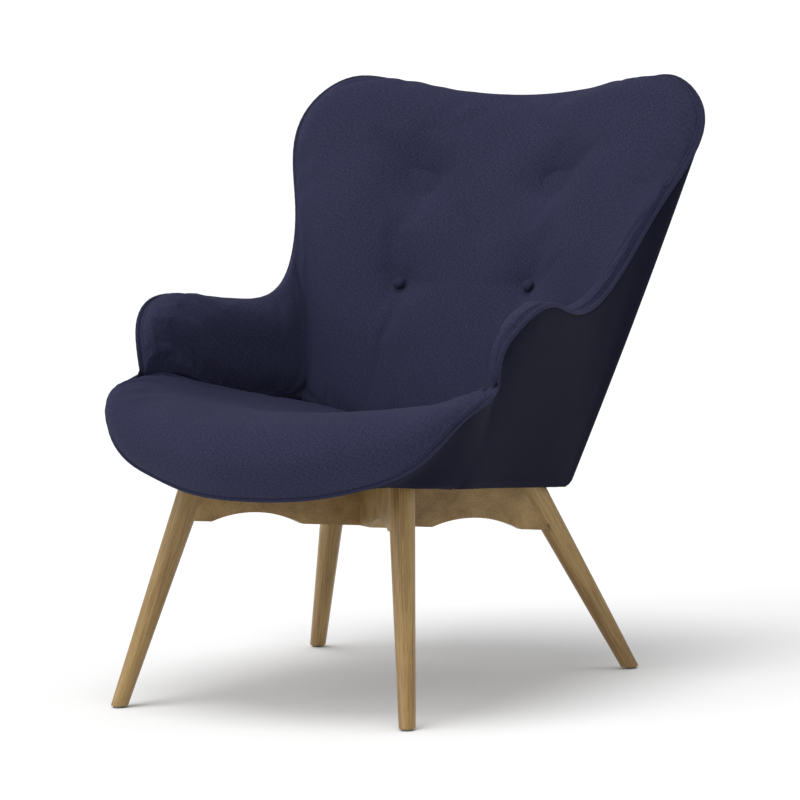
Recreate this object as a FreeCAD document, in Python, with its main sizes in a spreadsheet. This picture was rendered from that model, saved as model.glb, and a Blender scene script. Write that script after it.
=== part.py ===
import FreeCAD, Part
import math
import os
import Sketcher

# Contour wing lounge armchair, millimetres. The sitter faces -Y, +Z is up and the
# origin is on the floor under the middle of the feet and the shell.

doc = FreeCAD.newDocument("contour_armchair")
sheet = doc.addObject("Spreadsheet::Sheet", "Sizes")
Vector = FreeCAD.Vector

# ---------------------------------------------------------------- driving sizes

SIZES = {
    "deck_height": 318.1,        # underside of the shell above the floor, at the rail crossing
    "deck_centre_y": -84.0,      # where the two rails cross
    "deck_tilt": 7.1,            # degrees, the shell's underside drops towards the back
    "deck_slope": 0.12456,       # tangent of the tilt
    "cover_thickness": 2.0,
    "inner_cover_thickness": 3.0,
    "layer_gap": 0.5,
    "shell_thickness": 6.0,
    "board_thickness": 15.0,
    "board_half_width": 203.0,
    "board_front": 263.0,        # from the rail crossing to the board's front edge
    "board_rear": 290.0,
    "board_corner": 62.0,
    "dust_thickness": 0.8,
    "roll_inset": 34.0,          # the padded roll's crest, inside the welt
    "roll_rise": 8.0,
    "roll_foot_inset": 70.0,     # where the roll runs out into the inner face
    "roll_foot_drop": 26.0,
    "inner_bulge": 4.0,          # crown of the padding between roll and crease
    "outer_bulge": 1.5,          # crown of the outer wall
    "welt_diameter": 6.0,
    "band_slack": 5.0,           # the front band's sag below its straight line
    "lip_clearance": 5.0,        # seat padding above the front band
    "rail_angle": 46.0,          # degrees in plan, from the X axis
    "rail_thickness": 27.0,
    "rail_depth": 67.0,
    "rail_half_length": 292.0,
    "arch_span": 142.0,
    "arch_rise": 16.0,
    "arch_centre": 173.0,        # from the crossing
    "front_leg_reach": 268.6,    # leg axis on the shell's underside, from the crossing
    "rear_leg_reach": 259.4,
    "front_foot_x": 261.0,
    "front_foot_y": -397.0,
    "rear_foot_x": 294.0,
    "rear_foot_y": 198.0,
    "leg_top_diameter": 42.0,
    "leg_foot_diameter": 24.0,
    "leg_overrun": 20.0,         # extra cone at both ends, trimmed level
    "foot_round": 2.0,
    "glide_diameter": 17.0,
    "glide_height": 2.5,
    "nail_diameter": 2.6,
    "nail_length": 16.0,
    "dowel_diameter": 8.0,
    "dowel_length": 44.0,
    "dowel_spacing": 30.0,
    "bolt_diameter": 8.0,
    "bolt_length": 60.0,
    "bolt_head_diameter": 13.0,
    "bolt_head_height": 7.0,
    "washer_diameter": 18.0,
    "washer_thickness": 1.6,
    "nut_diameter": 10.5,
    "nut_flange": 20.0,
    "nut_length": 11.0,
    "button_diameter": 19.0,
    "button_height": 5.5,
    "button_round": 3.4,
    "button_sink": 5.0,          # the button's back below the padding's free surface
    "twine_diameter": 2.0,
    "anchor_diameter": 18.0,
    "anchor_thickness": 2.4,
    "staple_width": 10.0,
    "staple_wire": 0.9,
}

# Left-hand half of the upholstery, from the middle of the back round to the arm's front.
# top: welt between outer and inner cover. crease: seam where back or arm meets the seat.
# base: outline of the shell's underside. sill: lowest inner edge of the padding, its third
# value being the height above the base board. reach: how far down the inner face the padding goes.
WALL_STATIONS = {
    "back_centre": {"top": (0, 436, 873), "crease": (0, 95, 380), "base": (0, 234), "sill": (0, 93, 0),
                    "reach": 0.985},
    "back_inner": {"top": (120, 423, 883), "crease": (70, 97, 381), "base": (75, 231), "sill": (62, 93, 0),
                   "reach": 0.985},
    "back_outer": {"top": (230, 396, 904), "crease": (140, 95, 389), "base": (138, 221), "sill": (118, 93, 0),
                   "reach": 0.985},
    "wing_tip": {"top": (302, 374, 911), "crease": (172, 92, 398), "base": (172, 205), "sill": (148, 92, 0),
                 "reach": 0.985},
    "wing_corner": {"top": (371, 338, 858), "crease": (193, 86, 406), "base": (200, 179), "sill": (168, 90, 0),
                    "reach": 0.985},
    "wing_middle": {"top": (339, 252, 720), "crease": (203, 80, 411), "base": (211, 151), "sill": (180, 87, 0),
                    "reach": 0.985},
    "wing_root": {"top": (312, 197, 640), "crease": (211, 74, 416), "base": (216, 124), "sill": (188, 84, 0),
                  "reach": 0.985},
    "waist": {"top": (302, 134, 588), "crease": (217, 67, 420), "base": (220, 95), "sill": (200, 75, 20),
              "reach": 0.985},
    "arm_rear": {"top": (312, 59, 573), "crease": (223, 59, 424), "base": (222, 59), "sill": (212, 59, 44),
                 "reach": 0.985},
    "arm_middle": {"top": (332, -21, 583), "crease": (243, -21, 438), "base": (227, -21),
                   "sill": (232, -21, 70), "reach": 0.98},
    "arm_crown": {"top": (350, -96, 599), "crease": (270, -96, 454), "base": (236, -96),
                  "sill": (264, -96, 98), "reach": 0.97},
    "arm_brow": {"top": (353, -151, 593), "crease": (287, -151, 483), "base": (246, -151),
                 "sill": (290, -151, 138), "reach": 0.90},
    "arm_face": {"top": (343, -193, 567), "crease": (303, -193, 488), "base": (254, -193),
                 "sill": (312, -193, 173), "reach": 0.62},
    "arm_end": {"top": (334, -209, 546), "crease": (313, -209, 487), "base": (256, -209),
                "sill": (315, -209, 177), "reach": 0.45},
}

# The front band runs on from the arm's front under the seat's lip to the middle.
BAND_STATIONS = {
    "band_start": {"top": (323, -216, 484), "base": (256, -216)},
    "band_side": {"top": (333, -267, 470), "base": (250, -261)},
    "band_turn": {"top": (322, -303, 453), "base": (234, -293)},
    "band_corner": {"top": (300, -337, 419), "base": (212, -313)},
    "band_front": {"top": (255, -359, 378), "base": (192, -333)},
    "band_inner": {"top": (200, -371, 356), "base": (162, -349)},
    "band_near": {"top": (100, -400, 336), "base": (90, -365)},
    "band_centre": {"top": (0, -411, 332), "base": (0, -369)},
}

# Seat cushion sections across the chair: width position, front welt, nose, crown and rear crease.
SEAT_STATIONS = {
    "seat_a": {"x": 0, "front": (-411, 335), "nose": (-439, 385), "crown": (-366, 443), "rear": (91, 381),
               "under": (0, 0)},
    "seat_b": {"x": 80, "front": (-404, 338), "nose": (-432, 388), "crown": (-361, 444), "rear": (92, 383),
               "under": (0, 0)},
    "seat_c": {"x": 150, "front": (-388, 347), "nose": (-415, 396), "crown": (-346, 448), "rear": (91, 391),
               "under": (0, 0)},
    "seat_d": {"x": 200, "front": (-373, 359), "nose": (-398, 405), "crown": (-331, 453), "rear": (79, 411),
               "under": (4, 18)},
    "seat_e": {"x": 228, "front": (-366, 370), "nose": (-388, 412), "crown": (-323, 457), "rear": (39, 426),
               "under": (10, 56)},
    "seat_f": {"x": 250, "front": (-360, 381), "nose": (-379, 419), "crown": (-316, 461), "rear": (-59, 444),
               "under": (24, 93)},
    "seat_g": {"x": 275, "front": (-350, 400), "nose": (-365, 431), "crown": (-306, 467), "rear": (-119, 460),
               "under": (42, 107)},
    "seat_i": {"x": 296, "front": (-338, 419), "nose": (-349, 442), "crown": (-296, 474), "rear": (-169, 484),
               "under": (64, 124)},
    "seat_k": {"x": 313, "front": (-321, 438), "nose": (-328, 451), "crown": (-289, 478), "rear": (-201, 488),
               "under": (86, 130)},
}

# Tufting buttons: place on the inner back, and the padding's rake there in degrees from vertical.
BUTTONS = {
    "upper_left": (118, 299, 746),
    "upper_right": (-118, 299, 746),
    "lower_left": (120, 207, 597),
    "lower_right": (-120, 207, 597),
}
BACK_RAKE = 31.0


def fill_sheet():
    row = 1

    def put(alias, value):
        nonlocal row
        sheet.set("A%d" % row, alias)
        sheet.set("B%d" % row, str(value))
        sheet.setAlias("B%d" % row, alias)
        row += 1

    for alias, value in SIZES.items():
        put(alias, value)
    for stations in (WALL_STATIONS, BAND_STATIONS, SEAT_STATIONS):
        for name, points in stations.items():
            for point, values in points.items():
                values = values if isinstance(values, tuple) else (values,)
                for number, value in enumerate(values, 1):
                    put("%s_%s_%s" % (name, point, "one two three".split()[number - 1]), value)
    for name, point in BUTTONS.items():
        for axis, value in zip("xyz", point):
            put("button_%s_%s" % (name, axis), value)
    put("back_rake", BACK_RAKE)


fill_sheet()
doc.recompute()


def size(alias):
    return float(sheet.get(alias))


def point_of(name, point, count):
    return [size("%s_%s_%s" % (name, point, "one two three".split()[i])) for i in range(count)]


# ------------------------------------------------------------------ deck frame

DECK = FreeCAD.Placement(Vector(0, size("deck_centre_y"), size("deck_height")),
                         FreeCAD.Rotation(Vector(1, 0, 0), -size("deck_tilt")))


def deck_z(y):
    """Height of the shell's underside."""
    return size("deck_height") - size("deck_slope") * (y - size("deck_centre_y"))


def on_deck(x, y, z=0.0):
    return DECK.multVec(Vector(x, y, z))


def in_deck(placement):
    return DECK.multiply(placement)


# ------------------------------------------------------- document object helpers

nodes = []


def keep(obj, label):
    obj.Label = label
    nodes.append(obj)
    return obj


def primitive(kind, name, placement=None, **sizes):
    obj = doc.addObject(kind, name)
    for prop, expression in sizes.items():
        if isinstance(expression, str):
            obj.setExpression(prop, expression)
        else:
            setattr(obj, prop, expression)
    if placement is not None:
        obj.Placement = placement
    return obj


def cut(name, base, tool):
    obj = doc.addObject("Part::Cut", name)
    obj.Base = base
    obj.Tool = tool
    return obj


def common(name, base, tool):
    obj = doc.addObject("Part::Common", name)
    obj.Base = base
    obj.Tool = tool
    return obj


def fuse(name, parts):
    obj = doc.addObject("Part::MultiFuse", name)
    obj.Shapes = parts
    return obj


def group(name, parts):
    obj = doc.addObject("Part::Compound", name)
    obj.Links = parts
    return obj


def feature(name, shape):
    obj = doc.addObject("Part::Feature", name)
    obj.Shape = shape
    return obj


def aligned(origin, direction):
    """Placement with local Z along direction."""
    return FreeCAD.Placement(origin, FreeCAD.Rotation(Vector(0, 0, 1), direction))


# ------------------------------------------------------------ upholstery sections

def spline(points):
    curve = Part.BSplineCurve()
    last = len(points) - 1
    curve.interpolate(Points=points, Parameters=[i / last for i in range(len(points))])
    return curve


def level(vector):
    """Unit vector along the floor."""
    flat = Vector(vector.x, vector.y, 0)
    flat.normalize()
    return flat


UP = Vector(0, 0, 1)


def offset_points(curve, depth, outward, first, last, count):
    """Points along a section curve, moved by depth into the padding."""
    points = []
    for i in range(count):
        place = curve.value(first + (last - first) * i / (count - 1))
        run = curve.tangent(first + (last - first) * i / (count - 1))[0]
        across = UP * run.dot(outward) - outward * run.z
        across.normalize()
        points.append(place + across * depth)
    return points


class WallSection:
    """One upright section of the back and arms, from the underside over the welt to the crease."""

    def __init__(self, top, crease, base, sill, reach):
        self.top = top
        self.crease = crease
        self.base = base
        self.sill = sill
        self.padded_to = reach
        self.outward = level(top - crease)
        self.outer = self.outer_curve()
        self.inner = self.inner_curve()

    def outer_curve(self):
        run = self.top - self.base
        outward = level(run)
        across = outward * run.z - UP * run.dot(outward)
        across.normalize()
        middle = (self.base + self.top) * 0.5 + across * size("outer_bulge")
        return spline([self.base, middle, self.top])

    def inner_curve(self):
        drop = self.top.z - self.crease.z
        scale = min(1.0, drop / 150.0)
        crest = self.top - self.outward * size("roll_inset") * scale + UP * size("roll_rise") * scale
        foot = (self.top - self.outward * size("roll_foot_inset") * scale
                - UP * size("roll_foot_drop") * scale)
        run = foot - self.crease
        across = UP * run.dot(self.outward) - self.outward * run.z
        across.normalize()
        bulge = across * size("inner_bulge") * scale
        return spline([self.top, crest, foot, foot - run * 0.33 + bulge, foot - run * 0.68 + bulge,
                       self.crease])

    def inner_points(self, depth, first=0.0, last=1.0, count=17):
        return offset_points(self.inner, depth, self.outward, first, last, count)

    def outer_points(self, depth, first=0.0, last=1.0, count=9):
        return offset_points(self.outer, depth, level(self.top - self.base), first, last, count)


def skin(grid):
    """Smooth surface through rows of points."""
    surface = Part.BSplineSurface()
    surface.interpolate(grid)
    return surface


def borders(surface):
    first_u, last_u, first_v, last_v = surface.bounds()
    return [surface.uIso(first_u).toShape(), surface.uIso(last_u).toShape(),
            surface.vIso(first_v).toShape(), surface.vIso(last_v).toShape()]


def closed_solid(faces):
    shell = Part.makeShell(faces)
    shell.sewShape()
    solid = Part.makeSolid(shell)
    if solid.Volume < 0:
        solid.reverse()
    return solid


def layer(near, far):
    """Solid sheet between two grids of points that face each other."""
    surfaces = [skin(near), skin(far)]
    rims = [Part.makeRuledSurface(a, b) for a, b in zip(borders(surfaces[0]), borders(surfaces[1]))]
    return closed_solid([surface.toShape() for surface in surfaces] + rims)


def padding(front, back, sill):
    """Solid between a front and a back grid, closed below through a sill line."""
    face, rear = skin(front), skin(back)
    face_rims, rear_rims = borders(face), borders(rear)
    fold = Part.BSplineCurve()
    fold.interpolate(sill)
    fold = fold.toShape()
    faces = [face.toShape(), rear.toShape(), Part.makeRuledSurface(face_rims[2], rear_rims[3]),
             Part.makeRuledSurface(face_rims[3], fold), Part.makeRuledSurface(fold, rear_rims[2])]
    for end, rim in ((0, 0), (-1, 1)):
        corners = [front[end][-1], sill[end], back[end][0]]
        edges = [face_rims[rim], rear_rims[rim], Part.makeLine(corners[0], corners[1]),
                 Part.makeLine(corners[1], corners[2]), Part.makeLine(back[end][-1], front[end][0])]
        faces.append(Part.Face(Part.Wire(Part.sortEdges(edges)[0])))
    return closed_solid(faces)


def mirrored_sections(stations, build):
    """Sections from the left end round the middle to the right end."""
    names = list(stations)
    left = [build(name, -1) for name in reversed(names[1:])]
    return left + [build(name, 1) for name in names]


def wall_points(name, side):
    """Top, crease, base and sill of one station."""
    def place(x, y, z):
        return Vector(x * side, y, z)

    base_x, base_y = point_of(name, "base", 2)
    sill_x, sill_y, lift = point_of(name, "sill", 3)
    board_top = size("board_thickness") + size("layer_gap")
    return (place(*point_of(name, "top", 3)), place(*point_of(name, "crease", 3)),
            place(base_x, base_y, deck_z(base_y)), place(sill_x, sill_y, deck_z(sill_y) + board_top + lift))


BETWEEN = 3      # sections for each step from one station to the next


def wall_sections():
    """Sections spaced evenly between the stations, on smooth curves through them."""
    rows = mirrored_sections(WALL_STATIONS, wall_points)
    reaches = mirrored_sections(WALL_STATIONS, lambda name, side: point_of(name, "reach", 1)[0])
    along = [0.0]
    for before, after in zip(rows, rows[1:]):
        along.append(along[-1] + (after[0] - before[0]).Length)
    curves = []
    for column in zip(*rows):
        curve = Part.BSplineCurve()
        curve.interpolate(Points=list(column), Parameters=along)
        curves.append(curve)

    def section(number, share):
        after = min(number + 1, len(rows) - 1)
        place = along[number] + (along[after] - along[number]) * share
        reach = reaches[number] + (reaches[after] - reaches[number]) * share
        return WallSection(*(curve.value(place) for curve in curves), reach)

    steps = (len(rows) - 1) * BETWEEN
    return [section(i // BETWEEN, i % BETWEEN / BETWEEN) for i in range(steps + 1)]


wall = wall_sections()
MIDDLE = (len(WALL_STATIONS) - 1) * BETWEEN
ARM_BREAK = list(WALL_STATIONS).index("arm_rear") * BETWEEN


def outer_cover(sections):
    return layer([s.outer_points(0, 0, 0.985) for s in sections],
                 [s.outer_points(size("cover_thickness"), 0, 0.985) for s in sections])


def shell_frame(sections):
    near = size("cover_thickness") + size("layer_gap")
    far = near + size("shell_thickness")
    return layer([s.outer_points(near, 0, 0.93) for s in sections],
                 [s.outer_points(far, 0, 0.93) for s in sections])


def inner_cover(sections):
    return layer([s.inner_points(0, 0.035, 0.99) for s in sections],
                 [s.inner_points(size("inner_cover_thickness"), 0.035, 0.99) for s in sections])


def foam(sections):
    outer_depth = size("cover_thickness") + size("shell_thickness") + size("layer_gap") * 2
    inner_depth = size("inner_cover_thickness") + size("layer_gap")
    front = [s.inner_points(inner_depth, 0.09, s.padded_to) for s in sections]
    back = []
    for s in sections:
        height = (s.sill.z - s.base.z) / (s.top.z - s.base.z)
        back.append(s.outer_points(outer_depth, max(height, 0.06), 0.93))
    return padding(front, back, [s.sill for s in sections])


def upholstery():
    low = MIDDLE - ARM_BREAK
    high = MIDDLE + ARM_BREAK
    return {
        "outer_cover": outer_cover(wall),
        "shell_frame": shell_frame(wall[BETWEEN:-BETWEEN]),
        "inner_cover": inner_cover(wall),
        "arm_foam_right": foam(wall[:low + 1]),
        "back_foam": foam(wall[low:high + 1]),
        "arm_foam_left": foam(wall[high:]),
    }


# ------------------------------------------------------------------ seat and band

def seat_top_points(name, depth):
    """Points over the seat from the front welt to the rear crease, at a depth below the cover."""
    x = size("%s_x_one" % name)
    front, nose, crown, rear = [point_of(name, part, 2) for part in ("front", "nose", "crown", "rear")]
    shoulder = (nose[0] + 0.30 * (crown[0] - nose[0]), nose[1] + 0.68 * (crown[1] - nose[1]))
    chin = (front[0] + 0.72 * (nose[0] - front[0]), front[1] + 0.38 * (nose[1] - front[1]))
    run = (rear[0] - crown[0], rear[1] - crown[1])
    near = (crown[0] + 0.33 * run[0], crown[1] + 0.27 * run[1])
    far = (crown[0] + 0.70 * run[0], crown[1] + 0.74 * run[1])
    curve = spline([Vector(x, p[0], p[1]) for p in (front, chin, nose, shoulder, crown, near, far, rear)])
    return offset_points(curve, depth, Vector(0, -1, 0), 0.012, 0.985, 21)


def mirrored(point):
    return Vector(-point.x, point.y, point.z)


def flipped(points, side):
    return points if side > 0 else [mirrored(p) for p in points]


def seat_pad_rows(name, side):
    """Rows for the seat padding: its top, its underside and the front lip."""
    top = seat_top_points(name, size("inner_cover_thickness") + size("layer_gap"))
    x = top[0].x
    lift = size("board_thickness") + size("layer_gap")
    front_under, rear_under = point_of(name, "under", 2)
    rear_y = top[-1].y - 6
    sill_y = top[0].y + 62
    lip_y = top[0].y + 40
    rear = Vector(x, rear_y, deck_z(rear_y) + lift + rear_under)
    sill = Vector(x, sill_y, deck_z(sill_y) + lift + front_under)
    lip = Vector(x, lip_y, deck_z(lip_y) + size("lip_clearance") + front_under)
    under = [sill + (rear - sill) * (i / 4) for i in range(5)]
    return flipped(top, side), flipped(under, side), flipped([lip], side)[0]


def seat_foam():
    rows = mirrored_sections(SEAT_STATIONS, seat_pad_rows)
    tops, unders = skin([row[0] for row in rows]), skin([row[1] for row in rows])
    top_rims, under_rims = borders(tops), borders(unders)
    lip = Part.BSplineCurve()
    lip.interpolate([row[2] for row in rows])
    lip = lip.toShape()
    faces = [tops.toShape(), unders.toShape(), Part.makeRuledSurface(top_rims[3], under_rims[3]),
             Part.makeRuledSurface(top_rims[2], lip), Part.makeRuledSurface(lip, under_rims[2])]
    for end, rim in ((0, 0), (-1, 1)):
        top, under, lip_point = rows[end]
        edges = [top_rims[rim], under_rims[rim], Part.makeLine(top[-1], under[-1]),
                 Part.makeLine(top[0], lip_point), Part.makeLine(lip_point, under[0])]
        faces.append(Part.Face(Part.Wire(Part.sortEdges(edges)[0])))
    return closed_solid(faces)


def seat_cover():
    def row(depth):
        return mirrored_sections(SEAT_STATIONS, lambda name, side: flipped(seat_top_points(name, depth), side))

    return layer(row(0), row(size("inner_cover_thickness")))


def band_points(name, side, depth):
    """Front band from the shell's underside up to the seat welt."""
    top = Vector(*point_of(name, "top", 3))
    base_x, base_y = point_of(name, "base", 2)
    base = Vector(base_x, base_y, deck_z(base_y))
    outward = level(top - base)
    slack = (outward - UP) * size("band_slack")
    inset = (UP - outward) * (depth * 0.7)
    clear = UP * -(size("welt_diameter") * 0.5 + 0.4)
    curve = spline([base, (top + base) * 0.5 + slack, top + clear])
    return flipped([curve.value(i / 8) + inset for i in range(9)], side)


def front_band():
    def row(depth):
        return mirrored_sections(dict(reversed(BAND_STATIONS.items())),
                                 lambda name, side: band_points(name, side, depth))

    return layer(row(0), row(size("cover_thickness")))


def welt_solid(points):
    path = Part.BSplineCurve()
    path.interpolate(points)
    wire = Part.Wire(path.toShape())
    start = path.FirstParameter
    ring = Part.Circle(path.value(start), path.tangent(start)[0], size("welt_diameter") / 2)
    return wire.makePipeShell([Part.Wire(ring.toShape())], True, False)


def seat_parts():
    seat_line = mirrored_sections(dict(reversed(BAND_STATIONS.items())),
                                  lambda name, side: flipped([Vector(*point_of(name, "top", 3))], side)[0])
    return {
        "seat_foam": seat_foam(),
        "seat_cover": seat_cover(),
        "front_band": front_band(),
        "back_welt": welt_solid([section.top for section in wall]),
        "seat_welt": welt_solid(seat_line),
    }


# ------------------------------------------------------------------ wooden base

def side_of(name):
    return 1 if name.endswith("left") else -1


def raw_rail(name, turn):
    """Plain rail on the deck frame with two arches under it."""
    yaw = FreeCAD.Rotation(Vector(0, 0, 1), turn)
    half = size("rail_half_length")
    top = -size("dust_thickness")
    corner = yaw.multVec(Vector(-half, -size("rail_thickness") / 2, 0)) + Vector(0, 0, top - size("rail_depth"))
    bar = primitive("Part::Box", name + "_bar", in_deck(FreeCAD.Placement(corner, yaw)),
                    Length="Sizes.rail_half_length * 2", Width="Sizes.rail_thickness",
                    Height="Sizes.rail_depth")
    span, rise = size("arch_span"), size("arch_rise")
    radius = (span * span / 4 + rise * rise) / (2 * rise)
    arches = []
    for end in (-1, 1):
        middle = Vector(end * size("arch_centre"), -size("rail_thickness"),
                        top - size("rail_depth") + rise - radius)
        turned = yaw.multiply(FreeCAD.Rotation(Vector(1, 0, 0), -90))
        arches.append(primitive(
            "Part::Cylinder", "%s_arch_%s" % (name, "near" if end < 0 else "far"),
            in_deck(FreeCAD.Placement(yaw.multVec(middle), turned)),
            Radius="(Sizes.arch_span^2 / 4 + Sizes.arch_rise^2) / (2 * Sizes.arch_rise)",
            Height="Sizes.rail_thickness * 2"))
    rail = cut(name + "_arched", bar, fuse(name + "_arches", arches))
    doc.recompute()
    return rail


def lap_zone(name, upper):
    """Block that holds the upper or the lower half of the rail crossing."""
    depth = size("rail_depth")
    bottom = -size("dust_thickness") - depth * (0.5 if upper else 1.5)
    return primitive("Part::Box", name, in_deck(FreeCAD.Placement(Vector(-60, -60, bottom), FreeCAD.Rotation())),
                     Length=120, Width=120, Height="Sizes.rail_depth")


def leg_axis(name):
    """Foot centre on the floor and axis point on the shell's underside."""
    side = side_of(name)
    row = "front" if "front" in name else "rear"
    angle = math.radians(size("rail_angle"))
    reach = size(row + "_leg_reach")
    facing = -1 if row == "front" else 1
    foot = Vector(side * size(row + "_foot_x"), size(row + "_foot_y"), 0)
    top = on_deck(side * reach * math.cos(angle), facing * reach * math.sin(angle))
    return foot, top


LEGS = ("leg_front_left", "leg_front_right", "leg_rear_left", "leg_rear_right")


def leg_cone(name):
    foot, top = leg_axis(name)
    run = top - foot
    row = "front" if "front" in name else "rear"
    start = foot - run * (size("leg_overrun") / run.Length)
    cone = primitive("Part::Cone", name + "_cone", aligned(start, run),
                     Radius1="Sizes.leg_foot_diameter / 2", Radius2="Sizes.leg_top_diameter / 2")
    cone.Height = run.Length + 2 * size("leg_overrun")
    return cone


def beyond_leg(name):
    """Block on the far side of a leg's axis, which trims the rail's end."""
    foot, top = leg_axis(name)
    run = top - foot
    run.normalize()
    rail_run = top - DECK.Base
    across = run.cross(rail_run)
    across.normalize()
    turn = FreeCAD.Rotation(across.cross(run), across, run, "ZXY")
    width = 60
    corner = top - run * 160 - across * (width / 2)
    return primitive("Part::Box", name + "_beyond", FreeCAD.Placement(corner, turn),
                     Length=60, Width=width, Height=220)


def dowel_tools(name):
    """The two dowels between a leg and its rail, along the rail."""
    side = side_of(name)
    row = "front" if "front" in name else "rear"
    facing = -1 if row == "front" else 1
    angle = math.radians(size("rail_angle"))
    along = Vector(side * math.cos(angle), facing * math.sin(angle), 0)
    reach = size(row + "_leg_reach")
    dowels = []
    for number, level in enumerate((-1, 1), 1):
        height = -size("dust_thickness") - size("rail_depth") / 2 + level * size("dowel_spacing") / 2
        foot, top = leg_axis(name)
        lean = (foot - top) * (-height / (top.z - foot.z))
        spot = DECK.inverse().multVec(top + lean)
        end = Vector(spot.x, spot.y, height) + along * 8
        start = end - along * size("dowel_length")
        place = FreeCAD.Placement(start, FreeCAD.Rotation(Vector(0, 0, 1), along))
        dowels.append(primitive("Part::Cylinder", "%s_dowel_%d" % (name, number), in_deck(place),
                                Radius="Sizes.dowel_diameter / 2", Height="Sizes.dowel_length"))
    return dowels


def round_foot(name, leg):
    """Small round on the edge where the leg meets its glide."""
    doc.recompute()
    lowest = min(range(len(leg.Shape.Edges)), key=lambda i: leg.Shape.Edges[i].BoundBox.ZMax)
    rounded = doc.addObject("Part::Fillet", name)
    rounded.Base = leg
    rounded.Edges = [(lowest + 1, size("foot_round"), size("foot_round"))]
    return rounded


def base_frame():
    rail_a = raw_rail("rail_a", size("rail_angle"))
    rail_b = raw_rail("rail_b", -size("rail_angle"))
    lap_a = common("lap_a", rail_b, lap_zone("upper_zone", True))
    lap_b = common("lap_b", rail_a, lap_zone("lower_zone", False))
    above = primitive("Part::Box", "above_deck", in_deck(FreeCAD.Placement(
        Vector(-500, -500, -size("dust_thickness")), FreeCAD.Rotation())), Length=1000, Width=1000, Height=200)
    below = primitive("Part::Box", "below_floor",
                      FreeCAD.Placement(Vector(-500, -700, -200 + size("glide_height")), FreeCAD.Rotation()),
                      Length=1000, Width=1200, Height=200)
    cones, dowels, glides, nails = {}, [], [], []
    for name in LEGS:
        cones[name] = leg_cone(name)
    for name in LEGS:
        own = dowel_tools(name)
        dowels += own
        foot = leg_axis(name)[0]
        glide = primitive("Part::Cylinder", name + "_glide", FreeCAD.Placement(foot, FreeCAD.Rotation()),
                          Radius="Sizes.glide_diameter / 2", Height="Sizes.glide_height")
        nail = primitive("Part::Cylinder", name + "_nail",
                         FreeCAD.Placement(foot + Vector(0, 0, size("glide_height") / 2), FreeCAD.Rotation()),
                         Radius="Sizes.nail_diameter / 2", Height="Sizes.nail_length")
        glides.append(cut(name + "_glide_body", glide, nail))
        nails.append(nail)
        trimmed = cut(name + "_topped", cones[name], above)
        trimmed = round_foot(name + "_rounded", cut(name + "_footed", trimmed, below))
        keep(cut(name, trimmed, fuse(name + "_holes", own + [nail])), name)
    ends = [beyond_leg(name) for name in LEGS]
    rails = {"rail_left_front": (rail_a, lap_a), "rail_right_front": (rail_b, lap_b)}
    bolts = frame_bolts()
    bores = fuse("rail_bores", bolts["shanks"] + bolts["recesses"] + [lap_screw()])
    for name, (rail, lap) in rails.items():
        halved = cut(name + "_halved", rail, lap)
        coped = cut(name + "_coped", halved, fuse(name + "_copes", list(cones.values()) + ends))
        drilled = cut(name + "_drilled", coped, fuse(name + "_dowel_holes", dowels))
        keep(cut(name, drilled, bores), name)
    keep(group("leg_dowels", dowels), "leg_dowels")
    keep(group("foot_glides", glides), "foot_glides")
    keep(group("glide_nails", nails), "glide_nails")
    return bolts


def bolt_spots():
    angle = math.radians(size("rail_angle"))
    reach = size("arch_centre")
    return [(sx * reach * math.cos(angle), sy * reach * math.sin(angle)) for sx in (-1, 1) for sy in (-1, 1)]


def deck_cylinder(name, x, y, bottom, **sizes):
    place = in_deck(FreeCAD.Placement(Vector(x, y, bottom), FreeCAD.Rotation()))
    return primitive("Part::Cylinder", name, place, **sizes)


def frame_bolts():
    """Bolts up through the rails into flanged nuts in the base board."""
    under = -size("dust_thickness") - size("rail_depth") + size("arch_rise")
    seat_level = under + size("bolt_head_height") + size("washer_thickness") + 2
    parts = {"shanks": [], "heads": [], "washers": [], "nuts": [], "recesses": []}
    for number, (x, y) in enumerate(bolt_spots(), 1):
        shank = deck_cylinder("bolt_%d_shank" % number, x, y, seat_level - size("washer_thickness"),
                              Radius="Sizes.bolt_diameter / 2", Height="Sizes.bolt_length")
        head = deck_cylinder("bolt_%d_head" % number, x, y,
                             seat_level - size("washer_thickness") - size("bolt_head_height"),
                             Radius="Sizes.bolt_head_diameter / 2", Height="Sizes.bolt_head_height")
        disc = deck_cylinder("washer_%d_disc" % number, x, y, seat_level - size("washer_thickness"),
                             Radius="Sizes.washer_diameter / 2", Height="Sizes.washer_thickness")
        recess = deck_cylinder("bolt_%d_recess" % number, x, y, under - 12,
                               Radius="Sizes.washer_diameter / 2 + 0.5", Height=seat_level - under + 12)
        flange = deck_cylinder("nut_%d_flange" % number, x, y, size("board_thickness") - 1.5,
                               Radius="Sizes.nut_flange / 2", Height=1.5)
        barrel = deck_cylinder("nut_%d_barrel" % number, x, y, size("board_thickness") - size("nut_length"),
                               Radius="Sizes.nut_diameter / 2", Height="Sizes.nut_length")
        parts["shanks"].append(shank)
        parts["recesses"].append(recess)
        parts["heads"].append(fuse("bolt_%d" % number, [shank, head]))
        parts["washers"].append(cut("washer_%d" % number, disc, shank))
        nut_blank = fuse("nut_%d_blank" % number, [flange, barrel])
        parts["nuts"].append(cut("nut_%d" % number, nut_blank, shank))
        parts.setdefault("blanks", []).append(nut_blank)
    keep(group("frame_bolts", parts["heads"]), "frame_bolts")
    keep(group("frame_washers", parts["washers"]), "frame_washers")
    keep(group("board_nuts", parts["nuts"]), "board_nuts")
    return parts


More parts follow.
